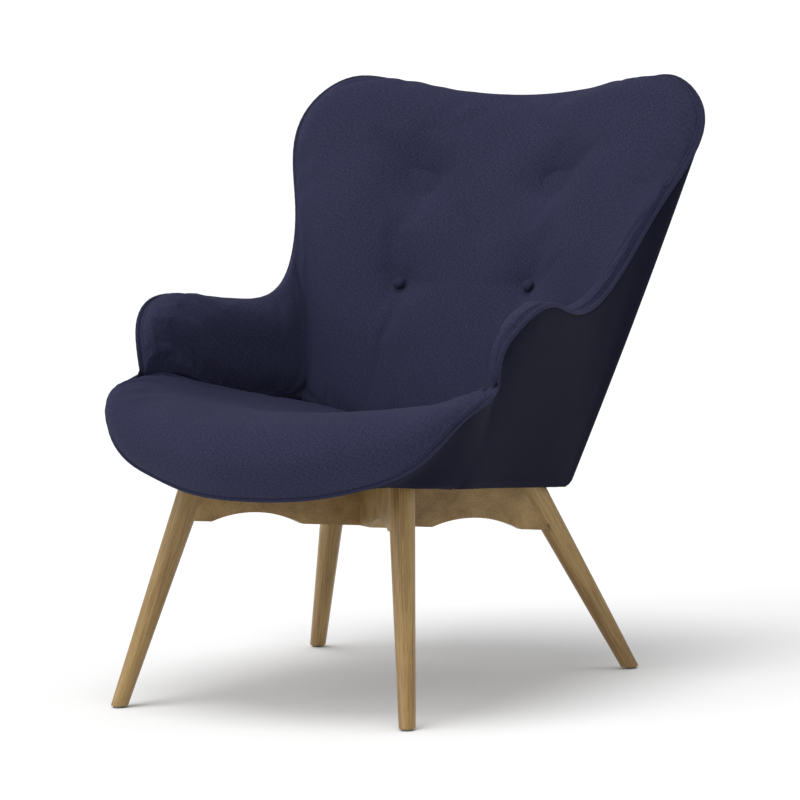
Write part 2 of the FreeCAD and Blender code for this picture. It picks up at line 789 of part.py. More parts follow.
def lap_screw():
    """Wood screw that pins the crossing from below."""
    top = -size("dust_thickness") - 12
    length = size("rail_depth") - 12
    shank = deck_cylinder("lap_screw_shank", 0, 0, top - length, Radius="Sizes.nail_diameter",
                          Height=length)
    head = primitive("Part::Cone", "lap_screw_head", in_deck(FreeCAD.Placement(
        Vector(0, 0, top - length), FreeCAD.Rotation())), Radius1="Sizes.nail_diameter * 2",
        Radius2="Sizes.nail_diameter", Height=4)
    screw = fuse("lap_screw", [shank, head])
    return keep(screw, "lap_screw")


# ------------------------------------------------------------ board and dust cover

def rounded_outline(body, name):
    """Sketch of the shell's underside: straight sides and rounded corners."""
    sketch = body.newObject("Sketcher::SketchObject", name)
    plane = next(f for f in body.Origin.OriginFeatures if f.Role == "XY_Plane")
    sketch.AttachmentSupport = [(plane, "")]
    sketch.MapMode = "FlatFace"
    w, f, r, c = (size("board_half_width"), -size("board_front"), size("board_rear"), size("board_corner"))
    ends = [(w - c, f), (w, f + c), (w, r - c), (w - c, r), (-w + c, r), (-w, r - c), (-w, f + c), (-w + c, f)]
    centres = {0: (w - c, f + c, -90, 0), 2: (w - c, r - c, 0, 90), 4: (-w + c, r - c, 90, 180),
               6: (-w + c, f + c, 180, 270)}
    for i in range(8):
        start, end = ends[i], ends[(i + 1) % 8]
        if i in centres:
            x, y, first, last = centres[i]
            circle = Part.Circle(Vector(x, y, 0), Vector(0, 0, 1), c)
            sketch.addGeometry(Part.ArcOfCircle(circle, math.radians(first), math.radians(last)), False)
        else:
            sketch.addGeometry(Part.LineSegment(Vector(*start, 0), Vector(*end, 0)), False)
    for i in range(8):
        sketch.addConstraint(Sketcher.Constraint("Tangent", i, 2, (i + 1) % 8, 1))
    for i in (2, 4, 6):
        sketch.addConstraint(Sketcher.Constraint("Equal", 0, i))
    corner = sketch.addConstraint(Sketcher.Constraint("Radius", 0, c))
    sketch.setExpression("Constraints[%d]" % corner, "Sizes.board_corner")
    width = sketch.addConstraint(Sketcher.Constraint("DistanceX", 5, 1, 1, 1, 2 * w))
    sketch.setExpression("Constraints[%d]" % width, "Sizes.board_half_width * 2")
    return sketch


def board_body(label, thickness, base, holes):
    body = doc.addObject("PartDesign::Body", label + "_body")
    sketch = rounded_outline(body, label + "_outline")
    pad = body.newObject("PartDesign::Pad", label + "_pad")
    pad.Profile = sketch
    pad.setExpression("Length", thickness)
    body.Placement = in_deck(FreeCAD.Placement(Vector(0, 0, base), FreeCAD.Rotation()))
    doc.recompute()
    return keep(cut(label, body, fuse(label + "_holes", holes)), label)


def staples():
    """Staples round the dust cover's edge, up into the board."""
    wire = size("staple_wire")
    crown = size("staple_width")
    w, f, r = size("board_half_width") - 12, -size("board_front") + 12, size("board_rear") - 12
    c = size("board_corner")
    spots = []
    for i in range(6):
        y = f + c + (r - f - 2 * c) * i / 5
        spots += [(-w, y, 90), (w, y, 90)]
    for i in range(5):
        x = -w + c + 2 * (w - c) * i / 4
        spots += [(x, f, 0), (x, r, 0)]
    made = []
    for number, (x, y, turn) in enumerate(spots, 1):
        yaw = FreeCAD.Rotation(Vector(0, 0, 1), turn)
        corner = Vector(x, y, -size("dust_thickness") - wire) - yaw.multVec(Vector(crown / 2, wire / 2, 0))
        blank = primitive("Part::Box", "staple_%d_blank" % number, in_deck(FreeCAD.Placement(corner, yaw)),
                          Length="Sizes.staple_width", Width="Sizes.staple_wire", Height=8)
        inner = corner + yaw.multVec(Vector(wire, -wire, wire))
        gap = primitive("Part::Box", "staple_%d_gap" % number, in_deck(FreeCAD.Placement(inner, yaw)),
                        Length="Sizes.staple_width - 2 * Sizes.staple_wire", Width="Sizes.staple_wire * 3",
                        Height=8)
        made.append(cut("staple_%d" % number, blank, gap))
    keep(group("cover_staples", made), "cover_staples")
    return made


# ------------------------------------------------------------------------ buttons

def tufting(shell):
    """Covered buttons, their twines and the discs that hold them behind the shell."""
    rake = math.radians(size("back_rake"))
    inward = Vector(0, math.cos(rake), -math.sin(rake))
    twines, anchors, channels, pockets = [], [], [], []
    for name in BUTTONS:
        face = Vector(*(size("button_%s_%s" % (name, axis)) for axis in "xyz"))
        seat = face + inward * size("button_sink")
        disc = primitive("Part::Cylinder", name + "_disc", aligned(seat, inward * -1),
                         Radius="Sizes.button_diameter / 2", Height="Sizes.button_height")
        doc.recompute()
        domed = doc.addObject("Part::Fillet", name + "_dome")
        domed.Base = disc
        domed.Edges = [(top_edge(disc.Shape, seat) + 1, size("button_round"), size("button_round"))]
        keep(domed, "button_" + name)
        reach = Part.makeLine(seat, seat + inward * 400).common(shell)
        far = max((v.Point for v in reach.Vertexes), key=lambda p: (p - seat).Length)
        back = far - inward * (size("anchor_thickness") + 0.8)
        anchor = primitive("Part::Cylinder", name + "_anchor", aligned(back, inward),
                           Radius="Sizes.anchor_diameter / 2", Height="Sizes.anchor_thickness - 0.4")
        anchors.append(anchor)
        twine = primitive("Part::Cylinder", name + "_twine", aligned(seat, inward),
                          Radius="Sizes.twine_diameter / 2")
        twine.Height = (back - seat).Length
        twines.append(twine)
        channels.append(Part.makeCylinder(size("twine_diameter") / 2 + 0.6, 430, seat - inward * 30, inward))
        pockets.append(Part.makeCylinder(size("button_diameter") / 2 + 1.2, 40, seat + inward * 0.2, inward * -1))
        pockets.append(Part.makeCylinder(size("anchor_diameter") / 2 + 1, 30, back - inward * 0.2, inward))
    keep(group("button_twines", twines), "button_twines")
    keep(group("button_anchors", anchors), "button_anchors")
    return channels, pockets


def top_edge(shape, seat):
    circles = [i for i, e in enumerate(shape.Edges) if e.Curve.TypeId == "Part::GeomCircle"]
    return max(circles, key=lambda i: (shape.Edges[i].Curve.Center - seat).Length)


# ----------------------------------------------------------------------- assembly

shapes = upholstery()
shapes.update(seat_parts())
channels, pockets = tufting(shapes["shell_frame"])
bolts = base_frame()
board = board_body("base_board", "Sizes.board_thickness", 0, bolts["shanks"] + bolts["blanks"] + staples())
board_body("dust_cover", "Sizes.dust_thickness", -size("dust_thickness"), bolts["shanks"])
doc.recompute()

for label in ("shell_frame", "back_foam", "inner_cover"):
    shapes[label] = shapes[label].cut(channels + pockets)
fixings = [obj.Shape for obj in bolts["heads"] + bolts["blanks"]]
shapes["seat_foam"] = shapes["seat_foam"].cut([board.Shape, shapes["seat_welt"], shapes["front_band"]] + fixings)
shapes["shell_frame"] = shapes["shell_frame"].cut([board.Shape])
for label in ("arm_foam_left", "arm_foam_right", "back_foam"):
    shapes[label] = shapes[label].cut([shapes["seat_foam"], shapes["seat_cover"]])
for label, shape in shapes.items():
    keep(feature(label, shape), label)

doc.recompute()
for obj in doc.Objects:
    if "Invalid" in obj.State or "Error" in obj.State:
        raise RuntimeError("%s failed: %s" % (obj.Name, obj.State))
os.makedirs("parts", exist_ok=True)
for node in nodes:
    if node.Shape.isNull() or not node.Shape.isValid():
        raise RuntimeError("%s has no valid shape" % node.Label)
    node.Shape.exportStep("parts/%s.step" % node.Label)
    print("%-20s %9.1f cm3 %3d solids" % (node.Label, node.Shape.Volume / 1000, len(node.Shape.Solids)))
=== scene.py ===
import math

import bmesh
import bpy
import numpy as np
from mathutils import Matrix, Vector


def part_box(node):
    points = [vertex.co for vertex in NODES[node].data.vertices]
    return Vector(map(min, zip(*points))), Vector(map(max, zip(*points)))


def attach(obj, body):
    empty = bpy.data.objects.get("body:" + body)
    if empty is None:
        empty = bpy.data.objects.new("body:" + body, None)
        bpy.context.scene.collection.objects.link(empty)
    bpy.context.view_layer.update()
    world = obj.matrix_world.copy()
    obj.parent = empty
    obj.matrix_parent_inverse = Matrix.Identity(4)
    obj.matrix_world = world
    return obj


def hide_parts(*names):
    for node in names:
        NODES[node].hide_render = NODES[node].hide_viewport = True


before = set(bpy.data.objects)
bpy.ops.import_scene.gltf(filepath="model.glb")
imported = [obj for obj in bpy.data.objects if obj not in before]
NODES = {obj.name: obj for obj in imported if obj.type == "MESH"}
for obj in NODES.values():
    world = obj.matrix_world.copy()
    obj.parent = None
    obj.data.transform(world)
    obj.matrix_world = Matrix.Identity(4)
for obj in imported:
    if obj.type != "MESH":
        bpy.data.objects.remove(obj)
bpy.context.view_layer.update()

# Looks for the contour wing armchair. Metres, the sitter faces -Y, the sitter's left is +X.

MM = 0.001
PER_STATION = 9        # sections from one station to the next


# ------------------------------------------------------------------ outline of the upholstery

# Left half of the back and arms in millimetres, from the middle of the back round to the notch
# where the arm's edge meets the seat's: welt, crease with the seat, outline of the underside, and
# the share of the full padded roll that the edge has there.
WALL = [
    ((0, 436, 873), (0, 95, 380), (0, 234), 1.0),
    ((120, 423, 883), (70, 97, 381), (75, 231), 1.0),
    ((230, 396, 904), (140, 95, 389), (138, 221), 0.85),
    ((302, 374, 911), (172, 92, 398), (172, 205), 0.60),
    ((371, 338, 858), (193, 86, 406), (200, 179), 0.36),
    ((339, 252, 720), (203, 80, 411), (211, 151), 0.34),
    ((312, 197, 640), (211, 74, 416), (216, 124), 0.42),
    ((302, 134, 588), (217, 67, 420), (220, 95), 0.62),
    ((312, 59, 573), (223, 59, 424), (222, 59), 0.85),
    ((332, -21, 583), (243, -21, 438), (227, -21), 1.0),
    ((350, -96, 599), (270, -96, 454), (236, -96), 1.0),
    ((353, -151, 593), (287, -151, 483), (246, -151), 1.0),
    ((343, -193, 567), (303, -193, 488), (254, -193), 1.0),
    ((334, -209, 546), (313, -209, 487), (256, -209), 1.0),
    ((323, -216, 488), (321, -216, 486), (256, -216), 1.0),
]

# Seat from the notch to the middle, following its front edge: welt, nose, crown, crease, and
# outline of the underside.
SEAT = [
    ((323, -216, 488), (323, -217, 488), (322, -216, 488), (321, -216, 486), (256, -216)),
    ((333, -267, 470), (334, -268, 474), (329, -252, 481), (317, -210, 487), (250, -261)),
    ((322, -303, 453), (325, -307, 462), (315, -280, 479), (309, -199, 488), (234, -293)),
    ((300, -337, 419), (302, -347, 440), (294, -298, 473), (297, -172, 485), (212, -313)),
    ((255, -359, 378), (256, -378, 417), (252, -316, 461), (256, -62, 447), (192, -333)),
    ((200, -371, 356), (200, -398, 405), (200, -331, 453), (200, 79, 411), (162, -349)),
    ((100, -400, 336), (100, -428, 389), (100, -358, 445), (92, 96, 383), (90, -365)),
    ((0, -411, 332), (0, -439, 385), (0, -366, 443), (0, 95, 380), (0, -369)),
]

DECK_HEIGHT, DECK_Y, DECK_SLOPE = 0.3181, -0.084, 0.12456    # plane of the shell's underside


def deck_z(y):
    return DECK_HEIGHT - DECK_SLOPE * (y - DECK_Y)


# ------------------------------------------------------------------------- curves and grids

def spline(points, knots, at):
    """Natural cubic spline through points, one row for each knot, read at the given places."""
    points = np.asarray(points, float)
    n = len(points)
    step = np.diff(knots)
    slope = np.diff(points, axis=0) / step[:, None]
    matrix = np.eye(n)
    right = np.zeros_like(points)
    for i in range(1, n - 1):
        matrix[i, i - 1:i + 2] = step[i - 1], 2 * (step[i - 1] + step[i]), step[i]
        right[i] = 6 * (slope[i] - slope[i - 1])
    bend = np.linalg.solve(matrix, right)
    i = np.clip(np.searchsorted(knots, at, side="right") - 1, 0, n - 2)
    a = ((knots[i + 1] - at) / step[i])[:, None]
    b = 1 - a
    return (a * points[i] + b * points[i + 1]
            + ((a ** 3 - a) * bend[i] + (b ** 3 - b) * bend[i + 1]) * (step[i] ** 2)[:, None] / 6)


def lengths(points):
    """Distance along a row of points."""
    return np.concatenate([[0], np.cumsum(np.linalg.norm(np.diff(points, axis=0), axis=1))])


def even(points, count):
    """Points spaced evenly along a polyline."""
    along = lengths(points)
    at = np.linspace(0, along[-1], count)
    return np.stack([np.interp(at, along, points[:, k]) for k in range(3)], axis=1)


def unit(vectors):
    return vectors / np.maximum(np.linalg.norm(vectors, axis=-1, keepdims=True), 1e-12)


def mirror_rows(rows):
    """Rows of points from the right end to the left end, made from the left half, middle first."""
    rows = np.asarray(rows, float)
    return np.concatenate([(rows * (-1, 1, 1))[::-1], rows[1:]])


def along_edge(stations):
    """Every mark of the stations as a smooth row of points, right end to left end, middle first."""
    marks = []
    for column in zip(*stations):
        marks.append(mirror_rows([(*p, 0) if len(p) == 2 else p for p in column]) * MM)
    marks[-1][:, 2] = deck_z(marks[-1][:, 1])
    knots = lengths(marks[0])
    count = (len(knots) - 1) * PER_STATION + 1
    at = np.interp(np.arange(count) / PER_STATION, np.arange(len(knots)), knots)
    return knots, at, [spline(points, knots, at) for points in marks]


FINE, COARSE, GROWTH = 0.0017, 0.0095, 0.16     # spacing of points beside a seam and away from it


def graded(points, count):
    """Points along a polyline, closer together towards both ends."""
    along = lengths(points)
    near_end = np.minimum(along, along[-1] - along)
    density = 1 / np.clip(FINE + GROWTH * near_end, FINE, COARSE)
    share = np.concatenate([[0], np.cumsum((density[1:] + density[:-1]) / 2 * np.diff(along))])
    at = np.interp(np.linspace(0, share[-1], count), share, along)
    return np.stack([np.interp(at, along, points[:, k]) for k in range(3)], axis=1)


CURVE_POINTS, KNOT_GAP = 240, 1e-7     # points on a curve, and what keeps coincident knots apart


def chord_spline(points):
    """Smooth curve through unevenly spaced points."""
    points = np.asarray(points, float)
    knots = lengths(points)
    knots = knots + np.arange(len(knots)) * KNOT_GAP
    return spline(points, knots, np.linspace(0, knots[-1], CURVE_POINTS))


def grid_normals(grid):
    along = np.gradient(grid, axis=0)
    across = np.gradient(grid, axis=1)
    return unit(np.cross(along, across))


def outward_normals(grid, middle):
    """Unit normals of a grid, all pointing towards the side away from a point."""
    normal = grid_normals(grid)
    if np.sum(normal * (grid - np.asarray(middle))) < 0:
        normal = -normal
    return normal


EDGE_HOLD, CREASE_HOLD = 0.022, 0.02     # widths over which the evening out fades in from the edges
STILL_SHARE, ROUND_STEP = 0.15, 0.6


def smooth_rows(grid, rounds):
    """Even out a grid from section to section, leaving the welt and the tucked end where they are."""
    along = np.array([lengths(row) for row in grid])
    hold = np.clip(along / EDGE_HOLD - STILL_SHARE, 0, 1) \
        * np.clip((along[:, -1:] - along - FLAP) / CREASE_HOLD, 0, 1)
    grid = grid.copy()
    for _ in range(rounds):
        middle = (grid[:-2] + grid[2:]) / 2
        grid[1:-1] += (middle - grid[1:-1]) * ROUND_STEP * hold[1:-1, :, None]
    return grid


def facing_normals(grid, viewer):
    """Unit normals of a grid, all on the side that faces a point."""
    return -outward_normals(grid, viewer)


# ---------------------------------------------------------------------------------- objects

def link(name, mesh):
    obj = bpy.data.objects.new(name, mesh)
    bpy.context.scene.collection.objects.link(obj)
    return obj


def grid_faces(rows, columns, flip=False):
    faces = []
    for i in range(rows - 1):
        for j in range(columns - 1):
            a = i * columns + j
            face = (a, a + columns, a + columns + 1, a + 1)
            faces.append(face[::-1] if flip else face)
    return faces


def add_weave_uv(mesh, place):
    """UV map in metres of cloth, which the weave follows."""
    layer = mesh.uv_layers.new(name="weave")
    corner = np.zeros(len(mesh.loops), np.int32)
    mesh.loops.foreach_get("vertex_index", corner)
    layer.data.foreach_set("uv", np.asarray(place, np.float32)[corner].ravel())


def cloth_place(grid):
    """Distance along and across the cloth for each grid point."""
    middle = lengths(grid[:, grid.shape[1] // 3])
    middle -= middle[-1] / 2
    across = np.array([lengths(row) for row in grid])
    return np.stack([np.broadcast_to(middle[:, None], across.shape), across], axis=2).reshape(-1, 2)


def sheet_piece(name, grid, thickness, middle):
    """Closed ring of cloth with a small thickness behind its visible side."""
    rows, columns = grid.shape[:2]
    flip = np.sum(grid_normals(grid) * (grid - np.asarray(middle))) < 0
    mesh = bpy.data.meshes.new(name)
    mesh.from_pydata(grid.reshape(-1, 3).tolist(), [], grid_faces(rows, columns, flip))
    add_weave_uv(mesh, cloth_place(grid))
    bm = bmesh.new()
    bm.from_mesh(mesh)
    bmesh.ops.remove_doubles(bm, verts=bm.verts, dist=1e-6)
    bm.to_mesh(mesh)
    bm.free()
    obj = link(name, mesh)
    smooth(obj)
    solid = obj.modifiers.new("thickness", "SOLIDIFY")
    solid.thickness = thickness
    solid.offset = -1
    apply_modifiers(obj)
    return obj


def pad_piece(name, front, back, flip):
    """Closed pad: two grids that share their border."""
    rows, columns = front.shape[:2]
    behind = np.arange(rows * columns).reshape(rows, columns)
    hidden = np.arange((rows - 2) * (columns - 2)).reshape(rows - 2, columns - 2)
    behind[1:-1, 1:-1] = rows * columns + hidden
    points = np.concatenate([front.reshape(-1, 3), back[1:-1, 1:-1].reshape(-1, 3)])
    faces = grid_faces(rows, columns)
    for i in range(rows - 1):
        for j in range(columns - 1):
            faces.append((behind[i, j], behind[i, j + 1], behind[i + 1, j + 1], behind[i + 1, j]))
    if flip:
        faces = [face[::-1] for face in faces]
    mesh = bpy.data.meshes.new(name)
    mesh.from_pydata(points.tolist(), [], [tuple(int(k) for k in face) for face in faces])
    place = cloth_place(front)
    inside = place.reshape(rows, columns, 2)[1:-1, 1:-1].reshape(-1, 2)
    add_weave_uv(mesh, np.concatenate([place, inside]))
    obj = link(name, mesh)
    smooth(obj)
    return obj


def smooth(obj):
    obj.data.polygons.foreach_set("use_smooth", [True] * len(obj.data.polygons))


def apply_modifiers(obj):
    bpy.context.view_layer.update()
    evaluated = obj.evaluated_get(bpy.context.evaluated_depsgraph_get())
    mesh = bpy.data.meshes.new_from_object(evaluated, preserve_all_data_layers=True,
                                           depsgraph=bpy.context.evaluated_depsgraph_get())
    old = obj.data
    obj.modifiers.clear()
    obj.data = mesh
    bpy.data.meshes.remove(old)


def subdivide(obj):
    modifier = obj.modifiers.new("subdivide", "SUBSURF")
    modifier.levels = modifier.render_levels = 1
    apply_modifiers(obj)
    smooth(obj)


def points_of(obj):
    co = np.zeros(len(obj.data.vertices) * 3, np.float32)
    obj.data.vertices.foreach_get("co", co)
    return co.reshape(-1, 3).astype(float)


def set_points(obj, points):
    obj.data.vertices.foreach_set("co", np.asarray(points, np.float32).ravel())
    obj.data.update()


# ------------------------------------------------------------------------ cloth simulation

PRESSURE = 4.0
SLACK = 0.02           # share by which the cloth is cut larger than its shape
LAST_FRAME = 20
FURTHEST_MOVE = 0.005


def inflate(obj, pinned):
    """Cloth under pressure between its pinned seams. No point moves further than FURTHEST_MOVE."""
    rest = points_of(obj)
    group = obj.vertex_groups.new(name="pinned")
    group.add([int(i) for i in np.nonzero(pinned)[0]], 1.0, "REPLACE")
    cloth = obj.modifiers.new("cloth", "CLOTH")
    cloth.settings.quality = 5
    cloth.settings.mass = 0.3
    cloth.settings.tension_stiffness = 15
    cloth.settings.compression_stiffness = 15
    cloth.settings.shear_stiffness = 5
    cloth.settings.bending_stiffness = 0.5
    cloth.settings.shrink_min = -SLACK
    cloth.settings.use_pressure = True
    cloth.settings.uniform_pressure_force = PRESSURE
    cloth.settings.vertex_group_mass = "pinned"
    cloth.settings.effector_weights.gravity = 0
    cloth.collision_settings.use_collision = False
    cloth.point_cache.frame_start = 1
    cloth.point_cache.frame_end = LAST_FRAME
    scene = bpy.context.scene
    for number in range(1, LAST_FRAME + 1):
        scene.frame_set(number)
    apply_modifiers(obj)
    scene.frame_set(1)
    move = points_of(obj) - rest
    size = np.linalg.norm(move, axis=1, keepdims=True)
    move *= FURTHEST_MOVE * np.tanh(size / FURTHEST_MOVE) / np.maximum(size, 1e-9)
    set_points(obj, rest + move)
    obj.vertex_groups.clear()


# ------------------------------------------------------------- the padding of back and arms

ROLL_INSET, ROLL_RISE = 0.034, 0.008      # crest of the padded roll, inside and above the welt
ROLL_FOOT, ROLL_DROP = 0.070, 0.026       # where the roll meets the inner face
FULL_ROLL_DROP = 0.150                    # height from crease to welt that allows a full roll
INNER_BULGE = 0.003                       # crown of the inner face, at these shares of the way down
CROWN_SHARES = 0.33, 0.68
INNER_POINTS, SEAT_POINTS = 84, 80        # points on one section
FLAP = 0.024           # cloth tucked into the crease between seat and back
FLAP_STEPS, LEAST_FLAP = 12, 0.15
TUCK_OUT, TUCK_DOWN = 0.55, 0.85          # slope of the tucked cloth
TUCK_CENTRE = (0, -0.08, 0)
TUCK_ROUNDS = 12
SEAM_OFFSET = 0.001                       # from the crease's line to where the cloth turns down
FLANGE = 0.009         # from the welt to the top stitching
SITTER = (0, -0.35, 0.95)      # a point in front of the chair, on the visible side of the padding
INSIDE = (0, 0.0, 0.45)        # a point in the middle of the upholstery


def wall_rows():
    """Welt, crease, underside outline and roll share of every section, right end to left end."""
    knots, at, rows = along_edge([station[:3] for station in WALL])
    share = np.array([station[3] for station in WALL])
    share = np.concatenate([share[::-1], share[1:]])
    return (*rows, np.interp(at, knots, share))


def tuck_direction(crease):
    """Way that the cloth goes down into the crease: away from the sitter and down."""
    along = unit(np.gradient(crease, axis=0) * (1, 1, 0))
    aside = np.stack([along[:, 1], -along[:, 0], np.zeros(len(along))], axis=1)
    away = crease * (1, 1, 0) - TUCK_CENTRE
    aside *= np.sign(np.sum(aside * away, axis=1))[:, None]
    for _ in range(TUCK_ROUNDS):
        aside[1:-1] = (aside[:-2] + aside[1:-1] + aside[2:]) / 3
    return unit(unit(aside) * TUCK_OUT - np.array([0, 0, TUCK_DOWN])), unit(aside)


def inner_grid(welt, crease, share):
    """Visible side of the inner upholstery: welt, padded roll, inner face, and down into the crease."""
    tuck, aside = tuck_direction(crease)
    grid = []
    for top, low, part, down, out in zip(welt, crease, share, tuck, aside):
        outward = top - low
        scale = min(1.0, max(outward[2], 0.0) / FULL_ROLL_DROP)
        outward = unit(outward * (1, 1, 0))
        roll = scale * part
        crest = top - outward * ROLL_INSET * roll + (0, 0, ROLL_RISE * roll)
        foot = top - outward * ROLL_FOOT * roll - (0, 0, ROLL_DROP * roll)
        run = foot - low
        across = unit(np.array([0, 0, 1]) * run.dot(outward) - outward * run[2])
        bulge = across * INNER_BULGE * scale
        crown = [foot - run * way + bulge for way in CROWN_SHARES]
        end = low + out * SEAM_OFFSET
        shape = chord_spline([top, crest, foot, *crown, end])
        flap = end + down * (FLAP * max(scale, LEAST_FLAP) ** 2) * np.linspace(0, 1, FLAP_STEPS)[1:, None]
        grid.append(graded(np.concatenate([shape, flap]), INNER_POINTS))
    return np.array(grid)


PADDING_RISE, SWELL_REACH = 0.0028, 0.016
SEWN_DEPTH, SEWN_WIDTH = 0.0015, 0.0022                            # groove under the top stitching
GROOVE_PLACE, GROOVE_DEPTH, GROOVE_WIDTH = 0.0035, 0.0022, 0.0018     # groove beside the welt


def edge_relief(distance):
    """Height of padding near a sewn edge: flat flange, stitched groove, then the padding swells."""
    swell = 1 - np.exp(-np.maximum(distance - FLANGE, 0) / SWELL_REACH)
    sewn = np.exp(-((distance - FLANGE) / SEWN_WIDTH) ** 2)
    beside_welt = np.exp(-((distance - GROOVE_PLACE) / GROOVE_WIDTH) ** 2)
    return PADDING_RISE * swell - SEWN_DEPTH * sewn - GROOVE_DEPTH * beside_welt


BUTTON_SPOTS = ("button_upper_left", "button_upper_right", "button_lower_left", "button_lower_right")
BUTTON_LEAN = math.radians(31)
BUTTON_AXIS = np.array([0, -math.cos(BUTTON_LEAN), math.sin(BUTTON_LEAN)])
DIMPLE_FLOOR = -0.0042                     # bottom of a dimple, from the button's middle
DIMPLE_FLAT, DIMPLE_REACH, DIMPLE_SKIRT = 0.013, 0.012, 0.042
STEEP_SHARE, SKIRT_SHARE = 0.55, 0.45
MEASURED_WITHIN = 0.012                    # the gap to a button is the mean over this radius


def dimple(points, centre):
    """How far a button pulls the padding in: down to the button, steep beside it, then a soft skirt."""
    offset = points - centre
    above = offset @ BUTTON_AXIS
    distance = np.linalg.norm(offset - above[..., None] * BUTTON_AXIS, axis=-1)
    close = distance < MEASURED_WITHIN
    depth = max(above[close].mean() if close.any() else 0.0, 0.0) + PADDING_RISE - DIMPLE_FLOOR
    beyond = np.maximum(distance - DIMPLE_FLAT, 0)
    return depth * (STEEP_SHARE * np.exp(-beyond / DIMPLE_REACH)
                    + SKIRT_SHARE * np.exp(-(beyond / DIMPLE_SKIRT) ** 2))


def button_centres():
    centres = []
    for name in BUTTON_SPOTS:
        low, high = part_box(name)
        centres.append(np.array((low + high) / 2))
    return centres


BUTTON_PAIRS = ((0, 2), (1, 3), (0, 1), (2, 3), (0, 3), (1, 2))
DRAG_DEPTH, DRAG_WIDTH, DRAG_FADE = 0.0012, 0.016, 0.80


def tension(points, centres):
    """Faint drag lines from button to button."""
    pull = np.zeros(points.shape[:-1])
    for a, b in BUTTON_PAIRS:
        run = centres[b] - centres[a]
        length = np.linalg.norm(run)
        run /= length
        along = (points - centres[a]) @ run
        off = np.linalg.norm(points - centres[a] - along[..., None] * run, axis=-1)
        fade = 1 - DRAG_FADE * np.sin(np.clip(along / length, 0, 1) * math.pi)
        inside = (along > 0) & (along < length)
        pull += np.where(inside, DRAG_DEPTH * fade * np.exp(-(off / DRAG_WIDTH) ** 2), 0)
    return pull


CREASE_FADE = 0.06                    # the relief fades out over this much before the tucked end
HIDDEN_DEPTH = 0.012                  # most that the hidden side lies behind the visible one
PINNED_MARGIN, BUTTON_HELD = 0.004, 0.016


def padding(grid, full_width):
    """Lift of the visible side, depth of the hidden side, and which points the seams hold."""
    from_welt = np.array([lengths(row) for row in grid])
    whole = from_welt[:, -1:]
    from_end = whole - from_welt
    span = np.clip((whole - FLAP) / full_width, 0, 1)
    lift = edge_relief(from_welt) * span * np.clip(from_end / CREASE_FADE, 0, 1)
    depth = HIDDEN_DEPTH * np.sin(np.clip(from_welt / whole, 0, 1) * math.pi) * span
    held = (from_welt < FLANGE + PINNED_MARGIN) | (from_end < FLAP + PINNED_MARGIN)
    return lift, depth, held


def pad(name, grid, lift, depth, held):
    """Padded piece from its visible grid: relief, a hidden back, and cloth under pressure."""
    normal = facing_normals(grid, SITTER)
    flip = np.sum(normal * grid_normals(grid)) < 0
    front = grid + normal * lift[..., None]
    obj = pad_piece(name, front, grid - normal * depth[..., None], flip)
    pinned = np.ones(len(obj.data.vertices))
    pinned[:held.size] = held.ravel()
    inflate(obj, pinned)
    subdivide(obj)
    return obj


INNER_ROUNDS, INNER_FULL_WIDTH = 45, 0.12
SEAT_ROUNDS, SEAT_FULL_WIDTH = 14, 0.16


def inner_upholstery(welt, crease, share):
    """Padded cover of back and arms, drawn in at the buttons."""
    grid = smooth_rows(inner_grid(welt, crease, share), INNER_ROUNDS)
    lift, depth, held = padding(grid, INNER_FULL_WIDTH)
    centres = button_centres()
    for centre in centres:
        lift -= dimple(grid, centre)
        held |= np.linalg.norm(grid - centre, axis=-1) < BUTTON_HELD
    lift -= tension(grid, centres)
    return pad("inner_upholstery", grid, lift, depth, held)


# ------------------------------------------------------------------------------- the seat

# Places between one mark and the next, as shares of the way in x, y and z.
CHIN, SHOULDER = (0.72, 0.72, 0.38), (0.30, 0.30, 0.68)
SEAT_NEAR, SEAT_FAR = (0.33, 0.33, 0.27), (0.70, 0.70, 0.74)
NO_FLAP_LENGTH, FLAP_GROWTH = 0.06, 0.14      # shorter sections near the notch have less tucked cloth
SHORTEST = 0.01


def seat_grid(marks):
    """Seat's visible side: front welt, nose, crown and rear, then down into the crease."""
    welt, nose, crown, rear = marks
    tuck, aside = tuck_direction(rear)
    chin = welt + (nose - welt) * CHIN
    shoulder = nose + (crown - nose) * SHOULDER
    run = rear - crown
    near = crown + run * SEAT_NEAR
    far = crown + run * SEAT_FAR
    grid = []
    for *row, down in zip(welt, chin, nose, shoulder, crown, near, far, rear - aside * SEAM_OFFSET, tuck):
        shape = chord_spline(row)
        scale = min(1.0, max(lengths(shape)[-1] - NO_FLAP_LENGTH, SHORTEST) / FLAP_GROWTH) ** 2
        flap = row[-1] + down * (FLAP * scale) * np.linspace(0, 1, FLAP_STEPS)[1:, None]
        grid.append(graded(np.concatenate([shape, flap]), SEAT_POINTS))
    return np.array(grid)


def seat_cushion(marks):
    """Padded cover of the seat."""
    grid = smooth_rows(seat_grid(marks), SEAT_ROUNDS)
    return pad("seat_cushion", grid, *padding(grid, SEAT_FULL_WIDTH))


# ------------------------------------------------------------------------- the outer cover

